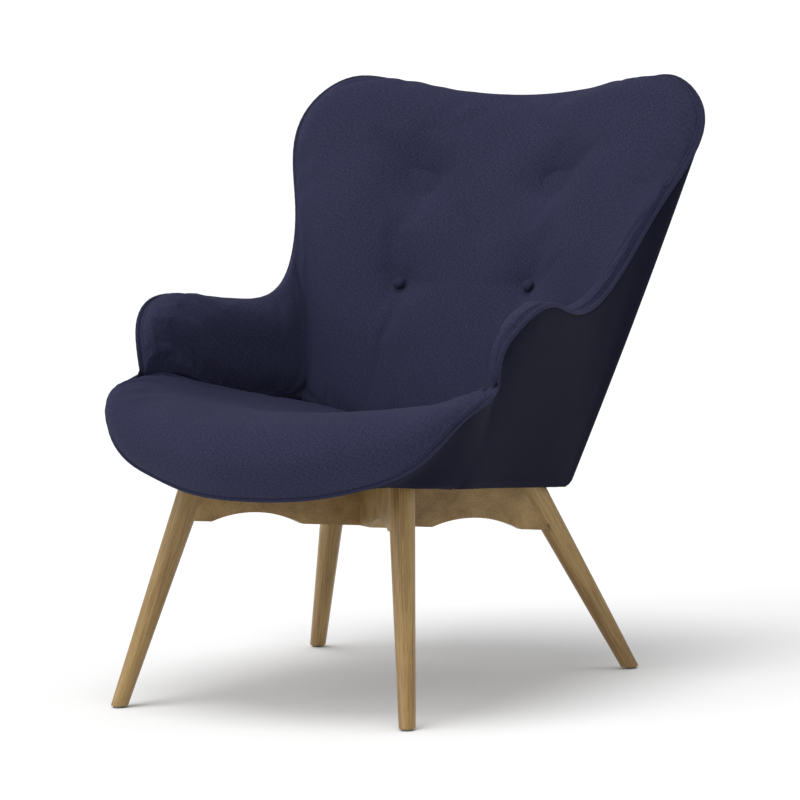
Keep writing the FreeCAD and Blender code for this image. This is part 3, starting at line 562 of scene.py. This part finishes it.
CORNER_WALL, CORNER_FRONT = 0.009, 0.008     # round between the outer cover and the underside
FRONT_FROM, FRONT_BLEND = -0.15, 0.12        # y where the front's round starts to take over
CORNER_SHARE = 0.45                          # most of the underside that the round may use
HEM_DROP = 0.0022                            # cloth and seam allowance under the shell
HEM_GAP = 0.0006                             # hem's inner edge below the shell
BOARD_MARGIN, BOARD_CORNER = 0.004, 0.058    # hem's inner edge, in from the board's outline
EDGE_INSET, EDGE_REACH = 0.0010, 0.004       # the cover's top edge, tucked in under the welt
EDGE_STOP = 0.996                            # share of the way up to the welt's middle
WALL_PROUD, WALL_BOW = 0.0022, 0.003         # the cloth stands off the shell, with a slight crown
PROUD_FADE = 0.03
ARC_STEPS, WALL_STEPS, HEM_STEPS = 14, 90, 10
OUTER_POINTS, OUTER_THICKNESS = 70, 0.0016


def board_edge(point, half, front, rear, corner):
    """Nearest place on the board's rounded outline, as x and y."""
    x = min(max(point[0], -half + corner), half - corner)
    y = min(max(point[1], front + corner), rear - corner)
    toward = unit(np.array([point[0] - x, point[1] - y]))
    return np.array([x, y]) + toward * corner


def outer_grid(top, low):
    """Outer cover all round, from the board under the shell, round the lower edge, up to the welt."""
    board_low, board_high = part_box("dust_cover")
    half = (board_high.x - board_low.x) / 2 - BOARD_MARGIN
    front_edge, rear_edge = board_low.y + BOARD_MARGIN, board_high.y - BOARD_MARGIN
    turn = np.linspace(0, 1, ARC_STEPS)[:, None]
    share = np.linspace(0, 1, WALL_STEPS)[1:, None]
    hem_share = np.linspace(0, 1, HEM_STEPS)[:-1, None]
    grid = []
    for head, edge in zip(top, low):
        inner = board_edge(edge, half, front_edge, rear_edge, BOARD_CORNER)
        inner = np.array([*inner, deck_z(inner[1]) - HEM_GAP])
        edge = edge - (0, 0, HEM_DROP)
        run = unit(head - edge)
        inward = unit(inner - edge)
        front = np.clip((FRONT_FROM - edge[1]) / FRONT_BLEND, 0, 1)
        corner = CORNER_WALL + (CORNER_FRONT - CORNER_WALL) * front
        corner = min(corner, np.linalg.norm(inner - edge) * CORNER_SHARE)
        arc = (1 - turn) ** 2 * (edge + inward * corner) + 2 * turn * (1 - turn) * edge \
            + turn ** 2 * (edge + run * corner)
        outward = unit(run * (1, 1, 0))
        across = unit(outward * run[2] - np.array([0, 0, 1]) * run.dot(outward))
        rise = head - arc[-1]
        bow = WALL_PROUD * np.minimum(1, (1 - share) / PROUD_FADE) + np.sin(share * math.pi) * WALL_BOW
        tucked = EDGE_INSET * np.exp(-(np.linalg.norm(rise) * (1 - share)) / EDGE_REACH)
        wall = arc[-1] + rise * share * EDGE_STOP + across * (bow - tucked)
        hem = inner + (arc[0] - inner) * hem_share
        grid.append(even(np.concatenate([hem, arc, wall]), OUTER_POINTS))
    return np.array(grid)


NOTCH_REACH, NOTCH_ROUNDS = 0.11, 90         # the cloth is evened out round the notch
NOTCH_STEP_ALONG, NOTCH_STEP_UP = 0.5, 0.3
STILL_COLUMNS, LOOSE_COLUMNS = 12, 20        # underside and round stay put, then the hold lets go


def outer_upholstery(welt, base, front_welt, front_base):
    """One tight cover round back, arms and front, evened out where the welt drops at the notch."""
    top = np.concatenate([welt, front_welt[::-1][1:]])
    low = np.concatenate([base, front_base[::-1][1:]])
    grid = outer_grid(top, low)
    notch = np.minimum(np.linalg.norm(top - top[0], axis=1), np.linalg.norm(top - welt[-1], axis=1))
    hold = np.exp(-(notch / NOTCH_REACH) ** 2)[:, None, None] * np.ones((1, grid.shape[1], 1))
    hold[:, :STILL_COLUMNS] = 0
    hold[:, STILL_COLUMNS:LOOSE_COLUMNS] *= np.linspace(0, 1, LOOSE_COLUMNS - STILL_COLUMNS)[None, :, None]
    hold[:, -1] = 0
    for _ in range(NOTCH_ROUNDS):
        beside = (np.roll(grid[:-1], 1, axis=0) + np.roll(grid[:-1], -1, axis=0)) / 2
        grid[:-1] += (beside - grid[:-1]) * NOTCH_STEP_ALONG * hold[:-1]
        grid[-1] = grid[0]
        level = (grid[:, :-2] + grid[:, 2:]) / 2
        grid[:, 1:-1] += (level - grid[:, 1:-1]) * NOTCH_STEP_UP * hold[:, 1:-1]
    return sheet_piece("outer_upholstery", grid, OUTER_THICKNESS, INSIDE)


# ------------------------------------------------------------------- welts, stitches, buttons

WELT_RADIUS, WELT_SIDES, WELT_SPACING = 0.0038, 10, 0.004
PUCKER, PUCKER_PITCH = 0.035, 0.013


def tube(name, path):
    """Round welt along a path, with slight puckers where the cloth is sewn round its cord."""
    sides = WELT_SIDES
    path = even(np.asarray(path), int(lengths(path)[-1] / WELT_SPACING))
    along = unit(np.gradient(path, axis=0))
    side = unit(np.cross(along, (0, 0, 1)))
    up = np.cross(side, along)
    turn = np.linspace(0, 2 * math.pi, sides, endpoint=False)
    ring = side[:, None] * np.cos(turn)[:, None] + up[:, None] * np.sin(turn)[:, None]
    distance = lengths(path)
    size = WELT_RADIUS * (1 + PUCKER * np.sin(distance * 2 * math.pi / PUCKER_PITCH))
    grid = path[:, None] + ring * size[:, None, None]
    rows = len(path)
    points = grid.reshape(-1, 3)
    faces = []
    for i in range(rows - 1):
        for j in range(sides):
            k = (j + 1) % sides
            faces.append((i * sides + j, i * sides + k, (i + 1) * sides + k, (i + 1) * sides + j))
    faces.append(tuple(range(sides))[::-1])
    faces.append(tuple((rows - 1) * sides + j for j in range(sides)))
    mesh = bpy.data.meshes.new(name)
    mesh.from_pydata(points.tolist(), [], faces)
    place = np.stack([np.repeat(distance, sides), np.tile(turn * WELT_RADIUS, rows)], axis=1)
    add_weave_uv(mesh, place)
    obj = link(name, mesh)
    smooth(obj)
    subdivide(obj)
    return obj


STITCH_PITCH, STITCH_LENGTH, STITCH_RADIUS = 0.0052, 0.0042, 0.00042
STITCH_SIDES = 6
# One stitch: place along it, width, and height above the cloth, as shares of its length and radius.
STITCH_SHAPE = ((-0.5, 0.25, -0.4), (-0.3, 0.9, 0.35), (0, 1.0, 0.7), (0.3, 0.9, 0.35), (0.5, 0.25, -0.4))
STITCH_AHEAD = 0.001      # distance over which a stitch's direction is taken
STITCH_SUNK = 0.0010


def stitches(name, path, normals):
    """Row of raised thread stitches along a path, sunk at their ends."""
    along = lengths(path)
    count = int(along[-1] / STITCH_PITCH)
    points, faces = [], []
    sides, profile = STITCH_SIDES, STITCH_SHAPE
    for number in range(1, count):
        at = along[-1] * number / count
        spot = np.array([np.interp(at, along, path[:, k]) for k in range(3)])
        ahead = np.array([np.interp(at + STITCH_AHEAD, along, path[:, k]) for k in range(3)])
        up = unit(np.array([np.interp(at, along, normals[:, k]) for k in range(3)]))
        run = unit(ahead - spot)
        side = unit(np.cross(run, up))
        up = np.cross(side, run)
        start = len(points)
        for share, width, height in profile:
            centre = spot + run * STITCH_LENGTH * share + up * STITCH_RADIUS * height
            for j in range(sides):
                turn = 2 * math.pi * j / sides
                points.append(centre + (side * math.cos(turn) + up * math.sin(turn)) * STITCH_RADIUS * width)
        for i in range(len(profile) - 1):
            for j in range(sides):
                k = (j + 1) % sides
                a = start + i * sides
                faces.append((a + j, a + k, a + sides + k, a + sides + j))
        faces.append(tuple(start + j for j in range(sides))[::-1])
        faces.append(tuple(start + (len(profile) - 1) * sides + j for j in range(sides)))
    mesh = bpy.data.meshes.new(name)
    mesh.from_pydata([list(p) for p in points], [], faces)
    obj = link(name, mesh)
    smooth(obj)
    return obj


def stitch_row(name, grid):
    """Stitches on a padded surface, along the inner edge of the flange beside its welt."""
    distance = FLANGE
    normal = facing_normals(grid, SITTER)
    path, up = [], []
    for row, ups in zip(grid, normal):
        along = lengths(row)
        if along[-1] < distance * 4:
            continue
        path.append([np.interp(distance, along, row[:, k]) for k in range(3)])
        up.append([np.interp(distance, along, ups[:, k]) for k in range(3)])
    path, up = np.array(path), np.array(up)
    return stitches(name, path - up * STITCH_SUNK, up)


BUTTON_RADIUS, BUTTON_SIDES = 0.0098, 48
# Section of a button: share of its radius, and height above its middle.
BUTTON_SHAPE = ((0.0, 0.0052), (0.30, 0.0050), (0.58, 0.0043), (0.80, 0.0030), (0.94, 0.0012),
                (1.0, -0.0008), (0.97, -0.0026), (0.86, -0.0042), (0.60, -0.0052), (0.0, -0.0055))
GATHERS, GATHER_DEPTH = 16, 0.012


def button(name, source):
    """Cloth covered button: a dome with soft gathers towards its rim, sunk in the padding."""
    low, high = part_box(source)
    centre = np.array((low + high) / 2)
    facing = BUTTON_AXIS
    side = unit(np.cross(facing, (0, 0, 1)))
    up = np.cross(side, facing)
    profile, sides = BUTTON_SHAPE, BUTTON_SIDES
    points, faces = [centre + facing * profile[0][1]], []
    for share, height in profile[1:-1]:
        for j in range(sides):
            turn = 2 * math.pi * j / sides
            gather = 1 + GATHER_DEPTH * share ** 6 * math.cos(turn * GATHERS)
            across = side * math.cos(turn) + up * math.sin(turn)
            points.append(centre + across * BUTTON_RADIUS * share * gather + facing * height)
    last = len(points)
    points.append(centre + facing * profile[-1][1])
    rings = len(profile) - 2
    for j in range(sides):
        k = (j + 1) % sides
        faces.append((0, 1 + j, 1 + k))
        for i in range(rings - 1):
            a = 1 + i * sides
            faces.append((a + j, a + sides + j, a + sides + k, a + k))
        a = 1 + (rings - 1) * sides
        faces.append((last, a + k, a + j))
    mesh = bpy.data.meshes.new(name)
    mesh.from_pydata([list(p) for p in points], [], faces)
    place = [((np.array(p) - centre) @ side, (np.array(p) - centre) @ up) for p in points]
    add_weave_uv(mesh, place)
    obj = link(name, mesh)
    smooth(obj)
    bm = bmesh.new()
    bm.from_mesh(mesh)
    bmesh.ops.recalc_face_normals(bm, faces=bm.faces)
    bm.to_mesh(mesh)
    bm.free()
    subdivide(obj)
    return obj


# -------------------------------------------------------------------------------- materials

class Nodes:
    """Small helper to write a node material line by line."""

    def __init__(self, name):
        self.material = bpy.data.materials.new(name)
        self.material.use_nodes = True
        self.tree = self.material.node_tree
        self.shader = self.tree.nodes["Principled BSDF"]

    def add(self, kind, inputs=None, **settings):
        node = self.tree.nodes.new(kind)
        for key, value in settings.items():
            setattr(node, key, value)
        for key, value in (inputs or {}).items():
            if isinstance(value, bpy.types.NodeSocket):
                self.tree.links.new(value, node.inputs[key])
            else:
                node.inputs[key].default_value = value
        return node

    def math(self, operation, a, b=0.0):
        return self.add("ShaderNodeMath", {0: a, 1: b}, operation=operation).outputs[0]

    def mix(self, share, a, b, blend="MIX"):
        node = self.add("ShaderNodeMix", data_type="RGBA", blend_type=blend)
        for index, value in ((0, share), (6, a), (7, b)):
            if isinstance(value, bpy.types.NodeSocket):
                self.tree.links.new(value, node.inputs[index])
            else:
                node.inputs[index].default_value = value
        return node.outputs[2]

    def noise(self, vector, scale, detail=2.0, roughness=0.5):
        return self.add("ShaderNodeTexNoise", {"Vector": vector, "Scale": scale, "Detail": detail,
                                               "Roughness": roughness}).outputs["Fac"]

    def scaled(self, vector, scale):
        return self.add("ShaderNodeMapping", {"Vector": vector, "Scale": scale}).outputs[0]

    def ramp(self, value, stops):
        node = self.add("ShaderNodeValToRGB", {"Fac": value})
        elements = node.color_ramp.elements
        while len(elements) < len(stops):
            elements.new(0.5)
        for element, (place, colour) in zip(elements, stops):
            element.position = place
            element.color = (*colour, 1)
        return node.outputs[0]

    def bump(self, height, strength, distance):
        inputs = {"Height": height, "Strength": strength, "Distance": distance}
        return self.add("ShaderNodeBump", inputs).outputs[0]

    def set(self, **inputs):
        for key, value in inputs.items():
            socket = self.shader.inputs[key.replace("_", " ")]
            if isinstance(value, bpy.types.NodeSocket):
                self.tree.links.new(value, socket)
            else:
                socket.default_value = value
        return self.material


YARN_ACROSS, YARN_ALONG = 0.0016, 0.0013     # pitch of the weave in metres
DARK_YARN = 0.50


def cloth_material(name, colour, light):
    """Heathered woven cloth: uneven yarns, a fine plain weave and a little fuzz."""
    n = Nodes(name)
    place = n.add("ShaderNodeUVMap", uv_map="weave").outputs[0]
    slub = n.noise(n.scaled(place, (210, 900, 300)), 1.0, 3.0, 0.6)
    warp = n.noise(n.scaled(place, (950, 240, 300)), 1.0, 2.0, 0.55)
    fleck = n.noise(n.scaled(place, (1500, 1500, 1500)), 1.0, 2.0, 0.7)
    wide = n.noise(n.scaled(place, (9, 9, 9)), 1.0, 2.0, 0.5)
    tone = n.math("ADD", n.math("MULTIPLY", slub, 0.50), n.math("MULTIPLY", warp, 0.22))
    tone = n.math("ADD", tone, n.math("MULTIPLY", fleck, 0.28))
    tone = n.ramp(tone, [(0.39, (0, 0, 0)), (0.61, (1, 1, 1))])
    dark = [value * DARK_YARN for value in colour] + [1]
    pale = [value * light for value in colour] + [1]
    base = n.mix(tone, dark, pale)
    shade = n.ramp(wide, [(0.25, (0.88, 0.88, 0.90)), (0.75, (1.0, 1.0, 1.0))])
    base = n.mix(1.0, base, shade, "MULTIPLY")
    sep = n.add("ShaderNodeSeparateXYZ", {0: place})
    over = n.math("SINE", n.math("MULTIPLY", sep.outputs[0], 2 * math.pi / YARN_ACROSS))
    under = n.math("SINE", n.math("MULTIPLY", sep.outputs[1], 2 * math.pi / YARN_ALONG))
    weave = n.math("MULTIPLY", over, under)
    height = n.math("ADD", n.math("MULTIPLY", weave, 0.30), n.math("MULTIPLY", tone, 0.45))
    normal = n.bump(height, 0.35, 0.0005)
    return n.set(Base_Color=base, Roughness=0.93, Normal=normal, Specular_IOR_Level=0.08,
                 Sheen_Weight=0.035, Sheen_Roughness=0.40, Sheen_Tint=(0.42, 0.45, 0.72, 1))


def thread_material():
    n = Nodes("sewing_thread")
    place = n.add("ShaderNodeTexCoord").outputs["Object"]
    twist = n.noise(n.scaled(place, (1500, 1500, 1500)), 1.0, 2.0, 0.6)
    base = n.mix(twist, (0.010, 0.010, 0.022, 1), (0.024, 0.025, 0.052, 1))
    return n.set(Base_Color=base, Roughness=0.6, Normal=n.bump(twist, 0.4, 0.0003))


def wood_material(name, foot, head, seed, knot=None):
    """Light open grained hardwood with its fibres along the piece."""
    n = Nodes(name)
    axis = (Vector(head) - Vector(foot)).normalized()
    turn = axis.to_track_quat("Z", "Y").to_euler()
    place = n.add("ShaderNodeTexCoord").outputs["Object"]
    local = n.add("ShaderNodeMapping", {"Vector": place, "Location": tuple(foot), "Rotation": tuple(turn)},
                  vector_type="TEXTURE").outputs[0]
    shift = (seed * 0.37, seed * 0.61, seed * 1.7)
    local = n.add("ShaderNodeMapping", {"Vector": local, "Location": shift}).outputs[0]
    bend = n.noise(n.scaled(local, (14, 14, 2.6)), 1.0, 3.0, 0.55)
    sway = n.math("MULTIPLY", n.math("SUBTRACT", bend, 0.5), 0.016)
    sep = n.add("ShaderNodeSeparateXYZ", {0: local})
    across = n.math("ADD", n.math("ADD", sep.outputs[0], n.math("MULTIPLY", sep.outputs[1], 0.35)), sway)
    rings = n.math("FRACT", n.math("MULTIPLY", across, 230))
    rings = n.ramp(rings, [(0.0, (0.15, 0.15, 0.15)), (0.12, (0.9, 0.9, 0.9)), (0.7, (0.75, 0.75, 0.75)),
                           (1.0, (0.15, 0.15, 0.15))])
    fibre = n.noise(n.scaled(local, (420, 420, 11)), 1.0, 3.0, 0.65)
    pores = n.noise(n.scaled(local, (900, 900, 38)), 1.0, 2.0, 0.6)
    broad = n.noise(n.scaled(local, (34, 34, 3.0)), 1.0, 2.0, 0.5)
    value = n.math("ADD", n.math("MULTIPLY", rings, 0.07), n.math("MULTIPLY", fibre, 0.48))
    value = n.math("ADD", value, n.math("MULTIPLY", broad, 0.45))
    base = n.ramp(value, [(0.32, (0.140, 0.076, 0.022)), (0.46, (0.255, 0.152, 0.048)),
                          (0.60, (0.360, 0.230, 0.080)), (0.74, (0.450, 0.305, 0.120))])
    pore = n.ramp(pores, [(0.30, (0.62, 0.58, 0.52)), (0.42, (1, 1, 1))])
    base = n.mix(1.0, base, pore, "MULTIPLY")
    if knot is not None:
        gap = n.add("ShaderNodeVectorMath", {0: place, 1: tuple(knot)}, operation="DISTANCE").outputs["Value"]
        wobble = n.noise(n.scaled(place, (160, 160, 160)), 1.0, 2.0, 0.5)
        gap = n.math("ADD", gap, n.math("MULTIPLY", n.math("SUBTRACT", wobble, 0.5), 0.010))
        whorl = n.math("SINE", n.math("MULTIPLY", gap, 2 * math.pi / 0.0034))
        near = n.ramp(n.math("MULTIPLY", gap, 50), [(0.08, (1, 1, 1)), (0.75, (0, 0, 0))])
        eye = n.ramp(n.math("MULTIPLY", gap, 100), [(0.25, (1, 1, 1)), (0.55, (0, 0, 0))])
        dark = n.math("MULTIPLY", near, n.math("MULTIPLY", n.math("ADD", whorl, 1.0), 0.32))
        base = n.mix(dark, base, (0.13, 0.068, 0.022, 1))
        base = n.mix(n.math("MULTIPLY", eye, 0.75), base, (0.075, 0.038, 0.014, 1))
    rough = n.ramp(fibre, [(0.3, (0.50, 0.50, 0.50)), (0.7, (0.40, 0.40, 0.40))])
    height = n.math("ADD", n.math("MULTIPLY", fibre, 0.6), n.math("MULTIPLY", pores, 0.5))
    return n.set(Base_Color=base, Roughness=rough, Normal=n.bump(height, 0.22, 0.0005),
                 Coat_Weight=0.12, Coat_Roughness=0.30)


def mottled_material(name, colour, contrast, scale, roughness, metallic=0.0, bump=0.2):
    """Plain material with fine uneven tone, for the pieces inside and underneath."""
    n = Nodes(name)
    place = n.add("ShaderNodeTexCoord").outputs["Object"]
    tone = n.noise(n.scaled(place, scale), 1.0, 4.0, 0.6)
    low = [value * (1 - contrast) for value in colour] + [1]
    high = [min(1.0, value * (1 + contrast)) for value in colour] + [1]
    base = n.mix(tone, low, high)
    return n.set(Base_Color=base, Roughness=roughness, Metallic=metallic, Normal=n.bump(tone, bump, 0.0004))


def dress(obj, material):
    obj.data.materials.clear()
    obj.data.materials.append(material)


# ------------------------------------------------------------------------------ build pieces

NAVY = (0.0275, 0.0285, 0.0600)
# Painted shade: the outer cover is the same navy cloth as the inner, made about three times darker to stand
# in for the shade on its outer sides.
NAVY_OUTER_PAINTED_SHADE = (0.0088, 0.0084, 0.0215)

welt, crease, base, share = wall_rows()
seat_marks = along_edge(SEAT[::-1])[2]
front_welt, front_base = seat_marks[0], seat_marks[-1]

inner_cloth = cloth_material("navy_inner", NAVY, 1.60)
# Painted shade: the outer cover's cloth, a darker copy of the inner navy cloth.
outer_cloth_painted_shade = cloth_material("navy_outer_painted_shade", NAVY_OUTER_PAINTED_SHADE, 1.28)
welt_cloth = cloth_material("navy_welt", NAVY, 1.45)

inner = inner_upholstery(welt, crease, share)
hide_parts("inner_cover", "back_foam", "arm_foam_left", "arm_foam_right")
dress(inner, inner_cloth)

seat = seat_cushion(seat_marks[:4])
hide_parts("seat_cover", "seat_foam")
dress(seat, inner_cloth)

outer = outer_upholstery(welt, base, front_welt, front_base)
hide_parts("outer_cover", "front_band")
dress(outer, outer_cloth_painted_shade)

back_welt = tube("back_piping", welt)
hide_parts("back_welt")
dress(back_welt, welt_cloth)
seat_welt = tube("seat_piping", front_welt)
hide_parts("seat_welt")
dress(seat_welt, welt_cloth)

thread = thread_material()
back_stitches = stitch_row("back_top_stitching", inner_grid(welt, crease, share))
seat_stitches = stitch_row("seat_top_stitching", seat_grid(seat_marks[:4]))
for row in (back_stitches, seat_stitches):
    dress(row, thread)

covered = []
for spot in BUTTON_SPOTS:
    piece = button("covered_" + spot, spot)
    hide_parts(spot)
    dress(piece, welt_cloth)
    covered.append(piece)

for piece in [inner, seat, outer, back_welt, seat_welt, back_stitches, seat_stitches] + covered:
    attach(piece, "root")


# ------------------------------------------------------------------------------- CAD pieces

def leg_ends(name):
    """Middle of a leg's foot and of its top, read from the CAD mesh."""
    points = points_of(NODES[name])
    low, high = points[:, 2].min(), points[:, 2].max()
    foot = points[points[:, 2] < low + 0.004].mean(0)
    head = points[points[:, 2] > high - 0.020].mean(0)
    return foot, head


KNOT_SHARE, KNOT_OFFSET = 0.20, np.array([0.004, -0.017, 0])     # the knot near one leg's top
RAIL_ANGLE, RAIL_SLOPE = math.radians(46), 0.09                  # run of the rails' fibres
RAIL_MIDDLE = (0, DECK_Y, 0.28)
LEG_SEED, RAIL_SEED = 1, 7

for number, name in enumerate(("leg_front_left", "leg_front_right", "leg_rear_left", "leg_rear_right")):
    foot, head = leg_ends(name)
    knot = head + (foot - head) * KNOT_SHARE + KNOT_OFFSET if name == "leg_rear_left" else None
    dress(NODES[name], wood_material("oak_" + name, foot, head, number + LEG_SEED, knot))
for number, (name, side) in enumerate((("rail_left_front", 1), ("rail_right_front", -1))):
    run = Vector((math.cos(RAIL_ANGLE) * side, -math.sin(RAIL_ANGLE), RAIL_SLOPE))
    far_end = Vector(RAIL_MIDDLE) + run
    dress(NODES[name], wood_material("oak_" + name, RAIL_MIDDLE, far_end, number + RAIL_SEED))

steel = mottled_material("zinc_steel", (0.55, 0.55, 0.56), 0.15, (300, 300, 300), 0.35, 1.0)
dark_steel = mottled_material("dark_steel", (0.20, 0.20, 0.21), 0.2, (300, 300, 300), 0.40, 1.0)
for name in ("frame_washers", "board_nuts", "cover_staples", "glide_nails"):
    dress(NODES[name], steel)
for name in ("frame_bolts", "lap_screw"):
    dress(NODES[name], dark_steel)
dress(NODES["foot_glides"], mottled_material("glide_nylon", (0.16, 0.155, 0.15), 0.12, (500, 500, 500), 0.6))
dress(NODES["button_anchors"], mottled_material("anchor_nylon", (0.7, 0.7, 0.68), 0.08, (500, 500, 500), 0.5))
dress(NODES["button_twines"], mottled_material("waxed_twine", (0.55, 0.52, 0.45), 0.25,
                                               (1500, 1500, 400), 0.7))
dress(NODES["base_board"], mottled_material("board_ply", (0.50, 0.36, 0.20), 0.25, (6, 90, 400), 0.7))
dress(NODES["shell_frame"], mottled_material("shell_ply", (0.42, 0.30, 0.17), 0.25, (60, 60, 8), 0.7))
dress(NODES["leg_dowels"], mottled_material("dowel_beech", (0.55, 0.38, 0.22), 0.2, (300, 300, 60), 0.6))
dress(NODES["dust_cover"], mottled_material("lining_cloth", (0.012, 0.012, 0.013), 0.5, (900, 900, 900), 0.95,
                                             bump=0.5))


# -------------------------------------------------------------------- floor, light and camera

FLOOR_HALF = 30
WORLD_STRENGTH = 0.62


def floor():
    mesh = bpy.data.meshes.new("studio_floor")
    corners = [(x * FLOOR_HALF, y * FLOOR_HALF, 0) for x, y in ((-1, -1), (1, -1), (1, 1), (-1, 1))]
    mesh.from_pydata(corners, [], [(0, 1, 2, 3)])
    obj = link("studio_floor", mesh)
    n = Nodes("studio_paper")
    place = n.add("ShaderNodeTexCoord").outputs["Object"]
    tone = n.noise(n.scaled(place, (4, 4, 4)), 1.0, 2.0, 0.5)
    paper = n.mix(tone, (0.89, 0.89, 0.89, 1), (0.91, 0.91, 0.91, 1))
    dress(obj, n.set(Base_Color=paper, Roughness=0.9, Specular_IOR_Level=0.1))


def sun(name, strength, softness, direction):
    data = bpy.data.lights.new(name, "SUN")
    data.energy = strength
    data.angle = math.radians(softness)
    lamp = bpy.data.objects.new(name, data)
    bpy.context.scene.collection.objects.link(lamp)
    lamp.rotation_euler = Vector(direction).to_track_quat("-Z", "Y").to_euler()


def studio_light():
    world = bpy.data.worlds.new("studio")
    world.use_nodes = True
    background = world.node_tree.nodes["Background"]
    background.inputs["Color"].default_value = (1, 1, 1, 1)
    background.inputs["Strength"].default_value = WORLD_STRENGTH
    bpy.context.scene.world = world
    sun("top", 1.35, 32, (0.06, 0.10, -1.0))
    sun("front", 0.95, 60, (0.50, 0.70, -0.62))


CAMERA_AZIMUTH, CAMERA_ELEVATION, CAMERA_ROLL = 33.0, 6.406, 1.982
CAMERA_DISTANCE, CAMERA_TARGET = 7.762, (0, 0.0161, 0.4324)
CAMERA_LENS, SENSOR = 225.0, 36.0


def camera():
    azimuth, elevation, roll = (math.radians(a) for a in (CAMERA_AZIMUTH, CAMERA_ELEVATION, CAMERA_ROLL))
    back = Vector((math.sin(azimuth) * math.cos(elevation), -math.cos(azimuth) * math.cos(elevation),
                   math.sin(elevation)))
    right = (-back).cross(Vector((0, 0, 1))).normalized()
    up = right.cross(-back)
    c, s = math.cos(roll), math.sin(roll)
    columns = (right * c - up * s, right * s + up * c, back)
    turn = Matrix([[column[k] for column in columns] for k in range(3)])
    data = bpy.data.cameras.new("camera")
    data.lens, data.sensor_width = CAMERA_LENS, SENSOR
    data.clip_end = 100
    obj = bpy.data.objects.new("camera", data)
    bpy.context.scene.collection.objects.link(obj)
    obj.matrix_world = Matrix.Translation(Vector(CAMERA_TARGET) + back * CAMERA_DISTANCE) @ turn.to_4x4()
    bpy.context.scene.camera = obj


bpy.context.scene.view_settings.view_transform = "Standard"
floor()
studio_light()
camera()
